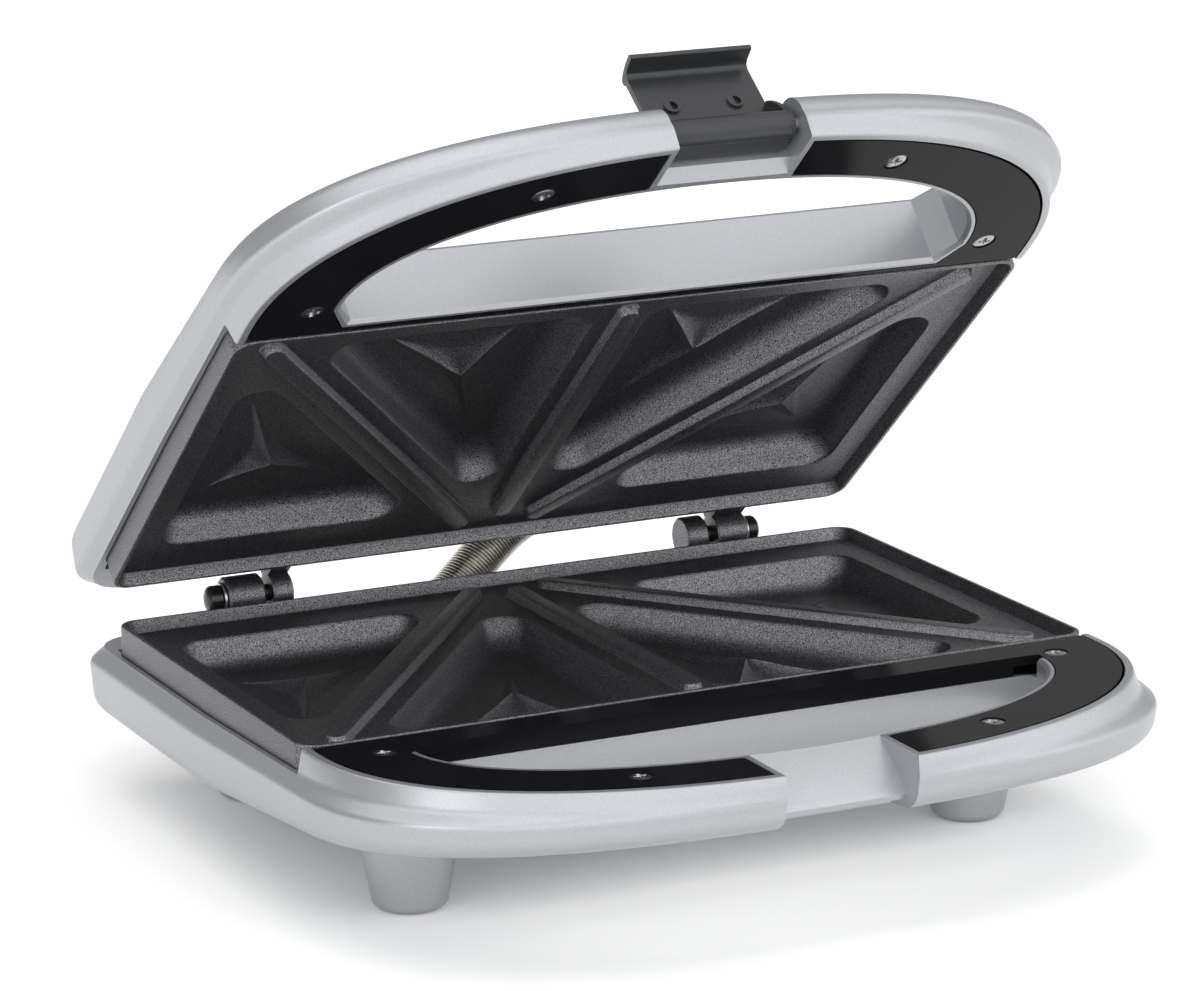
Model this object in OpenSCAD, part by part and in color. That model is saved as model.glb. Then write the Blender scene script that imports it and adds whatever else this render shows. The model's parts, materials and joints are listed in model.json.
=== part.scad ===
// Sandwich toaster: two hinged halves, each a moulded shell that holds a cast
// cooking plate, with a finger loop at the front, a flip-over latch flap on the
// lid, two hinges and a ribbed steel conduit between the halves at the back.
//
// A half is drawn with the rim of its plate in the plane z = 0 and its body
// below, x to the right, y = 0 at the front rim of the plate and +y to the back.
// The base stands as drawn. The lid is the same drawing mirrored, laid on the
// base and swung open about the hinge axis.

/* [Cooking plates] */
// Width of a plate over its rim
plate_w = 230; // [215:1:250]
// Depth of a plate, front rim to back rim
plate_d = 137.4; // [130:0.2:150]
// Corner radius of a plate
plate_corner_r = 6; // [4:0.5:9]
// Thickness of the cast metal
plate_t = 2; // [1.6:0.1:2.6]
// Height of the outer wall of a plate
plate_wall_h = 11; // [9:0.5:13]
// Level top of the rim, measured across
rim_top_w = 1; // [0.6:0.1:2]
// Width of the slope inside the rim
rim_slope_w = 3; // [2:0.1:4]
// Drop from the rim to the level ledge inside it
ledge_drop = 3.5; // [2.5:0.1:4.5]
// Depth of the sandwich pockets below the rim
pocket_depth = 12.5; // [10:0.1:13.5]
// Distance from the side rims to the pockets
pocket_side = 11; // [8:0.5:15]
// Distance from the back rim to the pockets
pocket_back = 17; // [14:0.5:22]
// Distance from the front rim to the pockets
pocket_front = 12.5; // [10:0.5:18]
// Corner radius of the pockets at the ledge
pocket_r = 7; // [4:0.5:9]
// How far the pocket walls lean in from ledge to floor
pocket_lean = 5; // [3:0.5:7]
// Half width of the land between two pockets
land_half = 8.5; // [7:0.1:10]
// Width of the raised cutting ribs at their top
rib_w = 4.5; // [3:0.1:6]
// Drop from the rim to the top of the ribs
rib_drop = 1.3; // [0.8:0.1:2.5]
// Height of the star ridges above the pocket floor
star_h = 2.5; // [1:0.1:4]

/* [Shells] */
// Wall thickness of the shells
wall = 2.5; // [2:0.1:3]
// Distance from the side of a plate to the outer edge of its shell
side_gap = 1.5; // [1.2:0.1:2.5]
// How far the widest line of a shell stands out beyond that edge
side_bulge = 3.5; // [2:0.1:6]
// Depth of the base below the rim, over its level part
base_depth = 28.5; // [28:0.5:34]
// Depth of the base below the rim, at the front of the handle
base_nose = 15; // [14.5:0.1:17]
// Height of the lid above the rim, over its level part
lid_depth = 25; // [25:0.5:30]
// Height of the lid above the rim, at the front of the handle
lid_nose = 14.7; // [14.5:0.1:17]
// Where the level part ends and the slope to the handle begins
slope_y = 65; // [55:1:80]
// Rounding where the sides meet the flat of a shell
shell_r = 6.5; // [5:0.1:6.5]
// How far the handle reaches in front of the plates
handle_reach = 79; // [77:0.5:90]
// Distance of the back edge of the shells behind the plates
shell_back = 14.6; // [14:0.2:17]
// Corner radius at the back of the shells
back_corner_r = 12; // [8:1:20]

/* [Finger loop and trim] */
// Half length of the finger opening
loop_half = 90; // [86:0.5:91]
// Front edge of the finger opening, in front of the plates
loop_front = 57.6; // [55:0.2:60]
// Back edge of the finger opening in the base
loop_back_base = 11.5; // [9:0.5:16]
// Back edge of the finger opening in the lid
loop_back_lid = 4.8; // [4.6:0.1:8]
// Thickness of the black trim
trim_t = 2.5; // [2:0.1:3]
// Drop of the trim below the rim
trim_drop = 0.3; // [0.2:0.1:0.8]
// Distance of the trim's back edge in front of the plates
trim_rear = 0.8; // [0.6:0.1:1.4]
// Gap between the trim and what it lies in
trim_gap = 0.4; // [0.2:0.1:0.8]
// Diameter of the screw heads in the trim
trim_head_d = 6.6; // [5.5:0.1:7.5]

/* [Feet] */
// Height of the rim of the base plate above the table
rim_height = 49.3; // [46:0.1:56]
// Distance of the feet from the middle of the toaster
foot_x = 82.8; // [76:0.2:90]
// Distance of the front feet behind the front rim
foot_front = 9; // [8:0.5:16]
// Distance of the back feet in front of the back rim
foot_back = 19.4; // [16:0.1:30]
// Radius of a foot at its bottom
foot_r = 10.2; // [9:0.1:11.5]
// Widening of a foot per millimetre of height
foot_taper = 0.17; // [0.08:0.01:0.2]
// Radius of the rubber pad under a foot
pad_r = 7; // [5:0.1:7.5]

/* [Hinges] */
// Distance of the hinge axis behind the plates
hinge_back = 12.1; // [11.5:0.1:13]
// Drop of the hinge axis below the rim of the base
hinge_drop = 0.8; // [0.5:0.1:1.2]
// Diameter of the hinge knuckles
knuckle_d = 12; // [10:0.2:12.6]
// Diameter of the hinge pins
pin_d = 5; // [4:0.1:6]
// Gap between the two rims when the toaster is shut
closed_gap = 0.5; // [0.4:0.1:1]
// How far the lid stands open in the photographed pose
open_angle = 40.3; // [30:0.1:60]

/* [Latch] */
// Half width of the recess that the latch flap lies in
recess_half = 18.6; // [18:0.1:20]
// Half width of the latch flap
flap_half = 17.2; // [15:0.1:17.5]
// Distance of the latch pin in front of the plates
latch_y = 72; // [71.5:0.1:72.5]
// Distance of the latch pin from the rim of the lid
latch_z = 8; // [7.8:0.1:8.2]
// Diameter of the latch pin
latch_pin_d = 3; // [2:0.1:4]
// Outer diameter of the flap's barrel
barrel_d = 7.2; // [6:0.1:7.4]
// Lean of the standing flap, back from square to the rim
flap_lean = 13; // [10:0.5:13]
// Length of the flap from the pin to its hooked end
flap_len = 28.2; // [27.5:0.1:30]

/* [Heating and wiring] */
// Diameter of the tubular heating elements
element_d = 6; // [5:0.1:6]
// Half width of an element's loop, at the middle of the tube
element_half = 66; // [64:0.5:67]
// Front of the element's loop, behind the front rim
element_front = 50; // [49:0.5:50.5]
// Back of the element's loop, behind the front rim
element_back = 104; // [98:0.5:106]
// Thickness of the steel reflector sheets
sheet_t = 0.6; // [0.4:0.1:0.7]
// Outer diameter of the ribbed conduit
conduit_d = 13; // [11:0.1:13]
// Depth of the conduit's grooves
groove_depth = 0.8; // [0.5:0.1:1.2]
// Number of ribs along the bent part of the conduit
rib_count = 76; // [40:1:90]

/* [Hidden] */
$fn = 48;

// Reach of a cut past the face that it opens
over = 1;
// A sliding or screwed fit, per side
fit = 0.03;
// Free room beside a piece that is laid in
room = 0.3;

plate_half = plate_w / 2;
edge_half = plate_half + side_gap;
bevel = side_bulge;
shell_half = edge_half + bevel;
shell_w = 2 * shell_half;
hinge_y = plate_d + hinge_back;
foot_rear = plate_d - foot_back;
loop_side_y = -12;
loop_corner_half = loop_half - 5;
// Middle of the curved front of the shells
curve_y = -4;

// ---------------------------------------------------------------- placing

// Depth of a shell at distance y, for its level depth and its nose depth
function depth_at(y, level, nose) =
    y >= slope_y ? level
    : level - (slope_y - y) / (slope_y + handle_reach) * (level - nose);

// A point [x, y, z] of the closed lid, swung to the photographed pose
function swung(p) =
    let (dy = p[1] - hinge_y, dz = p[2] + hinge_drop)
    [p[0],
     hinge_y + dy * cos(open_angle) + dz * sin(open_angle),
     -hinge_drop - dy * sin(open_angle) + dz * cos(open_angle)];

module base_place() {
    translate([0, -middle_y, rim_height]) children();
}

module lid_place() {
    base_place()
        translate([0, hinge_y, -hinge_drop])
            rotate([-open_angle, 0, 0])
                translate([0, -hinge_y, hinge_drop + closed_gap])
                    mirror([0, 0, 1]) children();
}

module both_sides() {
    children();
    mirror([1, 0, 0]) children();
}

// ---------------------------------------------------------------- outlines

// Rounded rectangle, half width w, from y0 to y1
function rounded_rect(w, y0, y1, r, steps = 4) =
    let (centres = [[w - r, y1 - r], [r - w, y1 - r], [r - w, y0 + r], [w - r, y0 + r]])
    [for (k = [0:3], i = [0:steps])
        let (a = 90 * k + 90 * i / steps)
        centres[k] + r * [cos(a), sin(a)]];

// Front half of a superellipse about [0, yc], from its left end to its right
function front_curve(w, front, yc, power, steps) =
    [for (i = [0:steps])
        let (a = 180 + 180 * i / steps, c = cos(a), s = sin(a))
        [w * sign(c) * pow(abs(c), 2 / power),
         yc - (yc - front) * pow(abs(s), 2 / power)]];

// Polygon with each corner p[i] rounded to radius r
function rounded_corners(p, r, steps = 5) =
    [for (i = [0:len(p) - 1])
        let (a = p[(i + len(p) - 1) % len(p)], b = p[i], c = p[(i + 1) % len(p)],
             u = (a - b) / norm(a - b), v = (c - b) / norm(c - b),
             half = acos(u * v) / 2,
             centre = b + (u + v) / norm(u + v) * r / sin(half),
             t0 = b + u * r / tan(half) - centre,
             t1 = b + v * r / tan(half) - centre,
             a0 = atan2(t0[1], t0[0]),
             turn = atan2(t0[0] * t1[1] - t0[1] * t1[0], t0 * t1))
        for (k = [0:steps])
            centre + r * [cos(a0 + turn * k / steps), sin(a0 + turn * k / steps)]];

// Long slot shape from a to b with round ends
function slot_outline(a, b, r, steps = 6) =
    let (d = b - a, h = atan2(d[1], d[0]))
    [for (e = [0:1], i = [0:steps])
        let (angle = h - 90 + 180 * e + 180 * i / steps)
        (e == 0 ? b : a) + r * [cos(angle), sin(angle)]];

function lifted(outline, z) = [for (p = outline) [p[0], p[1], z]];

// Solid through level rings of equal count, lowest ring first
module rings(list) {
    n = len(list[0]);
    last = n * (len(list) - 1);
    polyhedron(
        points = [for (ring = list, p = ring) p],
        faces = concat(
            [[for (i = [0:n - 1]) i]],
            [[for (i = [0:n - 1]) last + n - 1 - i]],
            [for (k = [0:len(list) - 2], i = [0:n - 1])
                [k * n + i, (k + 1) * n + i, (k + 1) * n + (i + 1) % n]],
            [for (k = [0:len(list) - 2], i = [0:n - 1])
                [k * n + i, (k + 1) * n + (i + 1) % n, k * n + (i + 1) % n]]));
}

// ---------------------------------------------------------------- shells

corner_steps = 5;
curve_steps = 40;

// Plan outline of a shell: back corners, then the left side, front and right side
function shell_outline(w, front, back, power) =
    let (r = back_corner_r)
    concat(
        [for (i = [0:corner_steps])
            let (a = 90 * i / corner_steps) [w - r + r * cos(a), back - r + r * sin(a)]],
        [for (i = [0:corner_steps])
            let (a = 90 + 90 * i / corner_steps) [r - w + r * cos(a), back - r + r * sin(a)]],
        [[-w, slope_y]],
        front_curve(w, front, curve_y, power, curve_steps),
        [[w, slope_y]]);

// Share of the depth at which the edge and the widest line of a shell lie
edge_share = 0.29;
widest_share = 0.44;
// Fullness of the front curve at the rim, the edge and the widest line
rim_power = 2.24;
edge_power = 2.4;
widest_power = 2.8;
// Draft of a side, from the widest line down to the rounding
draft = 0.6;
round_steps = 3;

function level_z(y, share, level, nose) =
    -trim_drop - share * (depth_at(y, level, nose) - trim_drop);

// Rings of a shell's form drawn in by inset, lowest first
function shell_rings(level, nose, inset) =
    let (r = shell_r - inset * 0.9, back = plate_d + shell_back)
    concat(
        [for (k = [0:round_steps])
            let (a = 90 * k / round_steps, in = inset + draft + r * (1 - sin(a)))
            [for (p = shell_outline(shell_half - in, in - handle_reach,
                                    back + bevel - in, widest_power))
                [p[0], p[1], inset + r * (1 - cos(a)) - depth_at(p[1], level, nose)]]],
        [[for (p = shell_outline(shell_half - inset, inset - handle_reach,
                                 back + bevel - inset, widest_power))
            [p[0], p[1], level_z(p[1], widest_share, level, nose)]],
         [for (p = shell_outline(edge_half - inset, inset - handle_reach,
                                 back - inset, edge_power))
            [p[0], p[1], level_z(p[1], edge_share, level, nose)]],
         [for (p = shell_outline(plate_half + room - inset, inset - handle_reach + room,
                                 back - inset - room, rim_power))
            [p[0], p[1], inset > 0 ? over : -trim_drop]]]);

// Rearmost reach of the open lid, and the middle from there to the handle
back_reach = max([for (ring = shell_rings(lid_depth, lid_nose, 0), p = ring)
    swung([p[0], p[1], closed_gap - p[2]])[1]]);
middle_y = (back_reach - handle_reach) / 2;
echo(middle_y = middle_y);

// Solid through the shell's rings; its two ends are closed by strips across
module shell_form(level, nose, inset = 0) {
    list = shell_rings(level, nose, inset);
    n = len(list[0]);
    last = n * (len(list) - 1);
    pairs = (n - 1) / 2;
    start = corner_steps;
    polyhedron(
        points = [for (ring = list, p = ring) p],
        faces = concat(
            [for (s = [0:pairs - 1])
                [(start - s + n) % n, start + 1 + s, start + 2 + s]],
            [for (s = [0:pairs - 2])
                [(start - s + n) % n, start + 2 + s, (start - s - 1 + n) % n]],
            [for (s = [0:pairs - 1])
                [last + start + 2 + s, last + start + 1 + s, last + (start - s + n) % n]],
            [for (s = [0:pairs - 2])
                [last + (start - s - 1 + n) % n, last + start + 2 + s,
                 last + (start - s + n) % n]],
            [for (k = [0:len(list) - 2], i = [0:n - 1])
                [k * n + i, (k + 1) * n + i, (k + 1) * n + (i + 1) % n]],
            [for (k = [0:len(list) - 2], i = [0:n - 1])
                [k * n + i, (k + 1) * n + (i + 1) % n, k * n + (i + 1) % n]]));
}

// Outline of the finger opening, grown by extra
function loop_outline(back, extra = 0) =
    concat(front_curve(loop_half + extra, -loop_front - extra, loop_side_y,
                       2.15, 24),
           [[loop_corner_half + extra, -back + extra],
            [-loop_corner_half - extra, -back + extra]]);

module loop_prism(back, extra, z0, z1) {
    translate([0, 0, z0])
        linear_extrude(z1 - z0) polygon(loop_outline(back, extra));
}

// Places of the trim screws on the right-hand side; the outer one also holds
// an ear of the plate
outer_screw = [97.8, -12];
front_screw = [50, -60.5];
screw_d = 3;
trim_screw_l = 9.4;
post_r = 3.6;
ear_t = 2;
trim_floor = -trim_drop - trim_t;

// Rear screws through the back wall into lugs of the plate
rear_screw_x = 101;
rear_screw_z = -15;
rear_head_d = 5.6;
rear_head_y = plate_d + shell_back + bevel - 0.6 - 2;
lug_w = 9;
lug_front = plate_d - plate_t;
lug_back = plate_d + 8;

// Alcove at the back in which the conduit crosses from the base to the lid
alcove_half = 50;
alcove_wall_y = plate_d + side_gap;
alcove_front = alcove_wall_y + wall;
conduit_r = conduit_d / 2;
ferrule_r = conduit_r + 0.3;
ferrule_flange = 3;
ferrule_neck_r = conduit_r - 1.2;
ferrule_neck = 4;
ferrule_bore_r = conduit_r - 2;
ferrule_in = alcove_half + wall + ferrule_neck;
conduit_y = alcove_front + room + ferrule_r;

reflector_half = 92;
reflector_front = slope_y + 1;
reflector_back = 118;
reflector_post = [[84, 72], [60, 112]];

// Cord grommet in the back wall of the base, seated on a boss inside
gland_x = -76;
gland_z = -17.5;
gland_r = 5;
gland_seat_y = plate_d + shell_back - 1.7;
gland_flange_t = 1.3;
gland_flange_r = gland_r + 1.5;

latch_wall = 1.6;

lamp_x = 16;
lamp_y = 5.6;
lens_r = 3.2;

function conduit_z(level) = -(level - wall - room - ferrule_r);

module half_shell(level, nose, loop_back, lid) {
    depth = level + over;
    difference() {
        union() {
            intersection() {
                shell_form(level, nose);
                union() {
                    // skin
                    difference() {
                        translate([-shell_half - over, -handle_reach - over, -depth])
                            cube([shell_w + 2 * over,
                                  handle_reach + plate_d + shell_back + bevel + 2 * over,
                                  depth + over]);
                        shell_form(level, nose, wall);
                    }
                    // ledge behind the plate
                    translate([-shell_half, alcove_wall_y, edge_top(level) - wall])
                        cube([shell_w, shell_back + bevel, wall]);
                    // wall round the finger opening
                    loop_prism(loop_back, wall - 0.5, -depth, lid ? -trim_drop : -5.7);
                    if (!lid)
                        intersection() {
                            loop_prism(loop_back, wall - 0.5, -depth, -trim_drop);
                            translate([-shell_half, -handle_reach, -depth])
                                cube([shell_w, handle_reach - loop_back - 4, depth]);
                        }
                    // block behind the latch recess
                    translate([-recess_half - latch_wall, -handle_reach, -depth])
                        cube([2 * (recess_half + latch_wall), handle_reach - loop_front,
                              depth - trim_drop]);
                    // posts under the trim screws
                    both_sides() {
                        translate([front_screw[0], front_screw[1], -depth])
                            cylinder(h = depth + trim_floor, r = post_r);
                        translate([outer_screw[0], outer_screw[1], -depth])
                            cylinder(h = depth + trim_floor - ear_t, r = post_r);
                        translate([rear_screw_x, lug_back, rear_screw_z])
                            rotate([-90, 0, 0]) cylinder(h = shell_back + bevel, r = 4.4);
                        for (p = reflector_post)
                            translate([p[0], p[1], -depth])
                                cylinder(h = depth + reflector_z(level) - sheet_t, r = 4);
                    }
                    // boss behind the cord grommet
                    if (!lid)
                        translate([gland_x, gland_seat_y, gland_z])
                            rotate([-90, 0, 0])
                                cylinder(h = shell_back + bevel, r = gland_flange_r + 1);
                    // walls of the alcove
                    translate([-alcove_half - wall, alcove_wall_y, -depth])
                        cube([2 * (alcove_half + wall), shell_back + bevel, depth + edge_top(level)]);
                }
            }
            if (!lid)
                difference() {
                    feet();
                    shell_form(level, nose, wall / 2);
                }
        }
        // finger opening
        loop_prism(loop_back, 0, -depth - over, over);
        // step down from the rim of the handle to the edge beside the plate
        rotate([90, 0, 90])
            translate([0, 0, -shell_half - over])
                linear_extrude(shell_w + 2 * over)
                    polygon([[0, level_z(0, edge_share, level, nose)],
                             [slope_y, edge_top(level)],
                             [plate_d + shell_back + bevel + over, edge_top(level)],
                             [plate_d + shell_back + bevel + over, over],
                             [0, over]]);
        latch_recess(lid);
        // room for the plate and its walls
        translate([0, 0, -plate_wall_h - room])
            linear_extrude(plate_wall_h + room + over)
                polygon(rounded_rect(plate_half + room, -room, plate_d + room,
                                     plate_corner_r + room));
        // alcove
        translate([-alcove_half, alcove_front, -level + wall])
            cube([2 * alcove_half, shell_back + bevel, level]);
        // way for the conduit's ferrule, on the left of the base, right of the lid
        translate([lid ? alcove_half - over : -ferrule_in - room, conduit_y, conduit_z(level)])
            rotate([0, 90, 0])
                cylinder(h = ferrule_in - alcove_half + room + over, r = ferrule_neck_r + fit);
        both_sides() {
            for (p = [front_screw, outer_screw])
                translate([p[0], p[1], trim_floor - trim_screw_l])
                    cylinder(h = trim_screw_l + over, r = screw_d / 2 + fit);
            translate([rear_screw_x, lug_back - over, rear_screw_z])
                rotate([-90, 0, 0])
                    cylinder(h = shell_back + bevel, r = screw_d / 2 + fit);
            translate([rear_screw_x, rear_head_y, rear_screw_z])
                rotate([-90, 0, 0]) cylinder(h = 5, r = rear_head_d / 2 + fit);
        }
        if (lid) {
            // bore for the latch pin
            translate([-recess_half - latch_wall - over, -latch_y, -latch_z])
                rotate([0, 90, 0])
                    cylinder(h = 2 * (recess_half + latch_wall + over),
                             r = latch_pin_d / 2 + fit);
            both_sides()
                translate([lamp_x, lamp_y, -depth]) cylinder(h = depth - 10, r = lens_r + fit);
        } else {
            translate([0, 0, -rim_height])
                both_sides()
                    for (y = [foot_front, foot_rear])
                        translate([foot_x, y, 0]) foot_hollow();
            translate([gland_x, plate_d, gland_z])
                rotate([-90, 0, 0])
                    cylinder(h = shell_back + bevel + 2 * over, r = gland_r + fit);
        }
    }
}

function edge_top(level) = level_z(slope_y, edge_share, level, level);
function reflector_z(level) = -(level - wall - room - sheet_t);

// Recess for the latch flap, open to the front of the handle
module latch_recess(lid) {
    behind = lid
        ? [[-loop_front - wall, over], [-loop_front - wall, 0], [-62.2, -1.7],
           [-latch_y + 7.8, -3], [-latch_y + 7.6, -latch_z], [-62.8, -15], [-62.3, -22]]
        : [[-loop_front - 1, over], [-loop_front, 0], [-60, -1.7], [-71.4, -10.4],
           [-72.1, -11.9], [-71.4, -13.3], [-65, -14.2], [-63, -18], [-63, -22]];
    rotate([90, 0, 90])
        translate([0, 0, -recess_half])
            linear_extrude(2 * recess_half)
                polygon(concat(behind, [[-handle_reach - 5, -22], [-handle_reach - 5, over]]));
}

foot_bottom = 0.4;
foot_top_h = rim_height - base_depth + 6;
module feet() {
    translate([0, 0, -rim_height + foot_bottom])
        both_sides()
            for (y = [foot_front, foot_rear])
                translate([foot_x, y, 0])
                    rotate_extrude()
                        polygon(concat(
                            [[0, 0]],
                            [for (a = [-90:22.5:0])
                                [foot_r - 2.5 + 2.5 * cos(a), 2.5 + 2.5 * sin(a)]],
                            [[foot_r + foot_taper * foot_top_h, foot_top_h],
                             [0, foot_top_h]]));
}

pad_seat = 1.6;
module foot_hollow() {
    translate([0, 0, foot_bottom + 4])
        cylinder(h = foot_top_h + 6, r = foot_r - wall);
    translate([0, 0, -over])
        cylinder(h = foot_bottom + pad_seat + over, r = pad_r + 0.1);
}

module lower_shell() {
    color("silver") base_place() half_shell(base_depth, base_nose, loop_back_base, false);
}

module upper_shell() {
    color("silver") lid_place() half_shell(lid_depth, lid_nose, loop_back_lid, true);
}

module foot_pads() {
    color("dimgray")
        base_place() translate([0, 0, -rim_height])
            both_sides()
                for (y = [foot_front, foot_rear])
                    translate([foot_x, y, 0]) cylinder(h = foot_bottom + pad_seat, r = pad_r);
}

// ---------------------------------------------------------------- plates

// Ends of the middle line of the right-hand cutting rib
rib_back = [12, plate_d - 11.4];
rib_front = [plate_half - 13.5, 10.5];
rib_dir = (rib_front - rib_back) / norm(rib_front - rib_back);
rib_side = [-rib_dir[1], rib_dir[0]];
function rib_x(y) = rib_back[0] + rib_dir[0] * (y - rib_back[1]) / rib_dir[1];
function rib_y(x) = rib_back[1] + rib_dir[1] * (x - rib_back[0]) / rib_dir[0];

// x of the line beside the rib, off to the right by side, at distance y
function beside_x(y, side) = rib_x(y) + side / rib_side[0];
function beside_y(x, side) = rib_y(x) + side / rib_side[1];

// Pocket between the rib, the back rim and the right-hand rim, drawn in by inset
function outer_pocket(inset) =
    let (x1 = plate_half - pocket_side - inset, y1 = plate_d - pocket_back - inset,
         side = land_half + inset)
    [[x1, y1], [beside_x(y1, side), y1], [x1, beside_y(x1, side)]];

// Pocket between the middle, the rib and the front rim
function inner_pocket(inset) =
    let (x0 = land_half - 0.5 + inset, y0 = pocket_front + inset, side = -land_half - inset)
    [[x0, y0], [beside_x(y0, side), y0], [x0, beside_y(x0, side)]];

// Rings of a pocket's form, lowest first, for outlines c0 at the ledge, c1 at the
// shoulder and c2 at the floor
function pocket_rings(c0, c1, c2, top, floor) =
    [lifted(rounded_corners(c2, pocket_r * 0.6), floor),
     lifted(rounded_corners(c1, pocket_r * 0.85), floor + shoulder),
     lifted(rounded_corners(c0, pocket_r), top)];

shoulder = 2.5;

// The four pocket forms, grown by grow; open_top carries the hollow past the rim
module pockets(grow, top, floor, open_top) {
    lean = [0, pocket_lean / 2, pocket_lean];
    both_sides() {
        for (c = [[for (k = lean) outer_pocket(k - grow)],
                  [for (k = lean) inner_pocket(k - grow)]]) {
            list = pocket_rings(c[0], c[1], c[2], top, floor);
            rings(open_top
                ? concat(list, [lifted(rounded_corners(c[0], pocket_r), over)]) : list);
        }
    }
}

// Outline of a three-armed star inside pocket p, arms by reach, half width by arm
function star_outline(p, reach, arm) =
    let (c = (p[0] + p[1] + p[2]) / 3)
    [for (i = [0:2])
        let (d = p[i] - c, u = d / norm(d), v = [-u[1], u[0]],
             tip = c + d * reach,
             e = p[(i + 1) % 3] - c, w = u + e / norm(e))
        for (q = [tip - v * arm, tip + v * arm, c + w / norm(w) * arm * 1.5]) q];

module stars() {
    both_sides()
        for (p = [outer_pocket(0), inner_pocket(0)])
            rings([lifted(star_outline(p, 0.5, 2.8), -pocket_depth - 0.2),
                   lifted(star_outline(p, 0.44, 0.6), -pocket_depth + star_h)]);
}

rib_spread = 1.6;
module cutting_ribs() {
    r = rib_w / 2;
    for (line = [[rib_back, rib_front],
                 [[-rib_back[0], rib_back[1]], [-rib_front[0], rib_front[1]]],
                 [[0, 8.7 + r], [0, plate_d - 16.4]]])
        rings([lifted(slot_outline(line[0], line[1], r + rib_spread), -ledge_drop - 0.2),
               lifted(slot_outline(line[0], line[1], r), -rib_drop)]);
}

// Bosses under the plate for the element clips and the thermostat
boss_r = 3.2;
under_z = -pocket_depth - plate_t;
clip_reach = element_d / 2 + 5.2;
leg_boss_x = element_half - clip_reach;
rear_boss_y = element_back + clip_reach;
clip_bosses = [
    [0, element_front + clip_reach],
    [leg_boss_x, rib_y(leg_boss_x)],
    [-leg_boss_x, rib_y(leg_boss_x)],
    [rib_x(rear_boss_y), rear_boss_y],
    [-rib_x(rear_boss_y), rear_boss_y]
];
// Direction from the tube to the boss of each clip
clip_turns = [90, 180, 0, 90, 90];
clip_screw_d = 2.4;
thermostat_at = [0, 78];

// Hinge knuckles as [from, to] along x, and the ends of their pin bores
base_knuckles = [[-78.2, -67.3], [66, 72.9]];
base_bores = [[-79, -66], [67.8, 74]];
lid_knuckles = [[-64.9, -58.8], [75.9, 85.8]];
lid_bores = [[-66, -60.5], [75, 87]];
arm_low = 6.6;
arm_t = 4.4;

module plate(knuckles, bores, axis_z) {
    difference() {
        union() {
            difference() {
                translate([0, 0, -plate_wall_h])
                    linear_extrude(plate_wall_h)
                        polygon(rounded_rect(plate_half, 0, plate_d, plate_corner_r));
                // inside of the rim
                rings([lifted(rounded_rect(plate_half - rim_top_w - rim_slope_w,
                                           rim_top_w + rim_slope_w,
                                           plate_d - rim_top_w - rim_slope_w,
                                           plate_corner_r - 2), -ledge_drop),
                       lifted(rounded_rect(plate_half - rim_top_w, rim_top_w,
                                           plate_d - rim_top_w,
                                           plate_corner_r - 1), 0.01)]);
                // hollow underside
                translate([0, 0, -plate_wall_h - over])
                    linear_extrude(plate_wall_h + over - ledge_drop - plate_t)
                        polygon(rounded_rect(plate_half - plate_t, plate_t,
                                             plate_d - plate_t, plate_corner_r - 2));
            }
            pockets(plate_t, -ledge_drop - plate_t / 2, under_z, false);
            cutting_ribs();
            for (p = concat(clip_bosses, [thermostat_at]))
                translate([p[0], p[1], under_z])
                    cylinder(h = -under_z - ledge_drop - plate_t / 2, r = boss_r);
            both_sides() {
                // ear under the trim
                translate([outer_screw[0] - 3, outer_screw[1] - 3.4, trim_floor - ear_t])
                    cube([6, plate_t / 2 - outer_screw[1] + 3.4, ear_t]);
                // lug for the rear screw
                translate([rear_screw_x - lug_w / 2, lug_front, rear_screw_z - lug_w / 2])
                    cube([lug_w, plate_t, lug_w + 3]);
                translate([rear_screw_x - lug_w / 2, lug_front, rear_screw_z - lug_w / 2])
                    cube([lug_w, lug_back - lug_front, lug_w - 1.2]);
            }
            for (span = knuckles) {
                translate([span[0], hinge_y, axis_z])
                    rotate([0, 90, 0]) cylinder(h = span[1] - span[0], d = knuckle_d);
                translate([span[0], plate_d - plate_t / 2, -arm_low])
                    cube([span[1] - span[0], hinge_back + plate_t / 2, arm_t]);
            }
        }
        pockets(0, -ledge_drop, -pocket_depth, true);
        for (span = bores)
            translate([span[0], hinge_y, axis_z])
                rotate([0, 90, 0]) cylinder(h = span[1] - span[0], r = pin_d / 2 + fit);
        for (p = concat(clip_bosses, [thermostat_at]))
            translate([p[0], p[1], under_z - over])
                cylinder(h = 6 + over, r = clip_screw_d / 2 + fit);
        both_sides() {
            translate([outer_screw[0], outer_screw[1], trim_floor - ear_t - over])
                cylinder(h = ear_t + 2 * over, r = screw_d / 2 + fit);
            translate([rear_screw_x, lug_front - over, rear_screw_z])
                rotate([-90, 0, 0])
                    cylinder(h = lug_back - lug_front + 2 * over, r = screw_d / 2 + fit);
        }
    }
    stars();
}

module lower_plate() {
    color("#3b3b3e") base_place() plate(base_knuckles, base_bores, -hinge_drop);
}

module upper_plate() {
    color("#3b3b3e")
        lid_place() plate(lid_knuckles, lid_bores, hinge_drop + closed_gap);
}

// ---------------------------------------------------------------- trim

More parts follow.
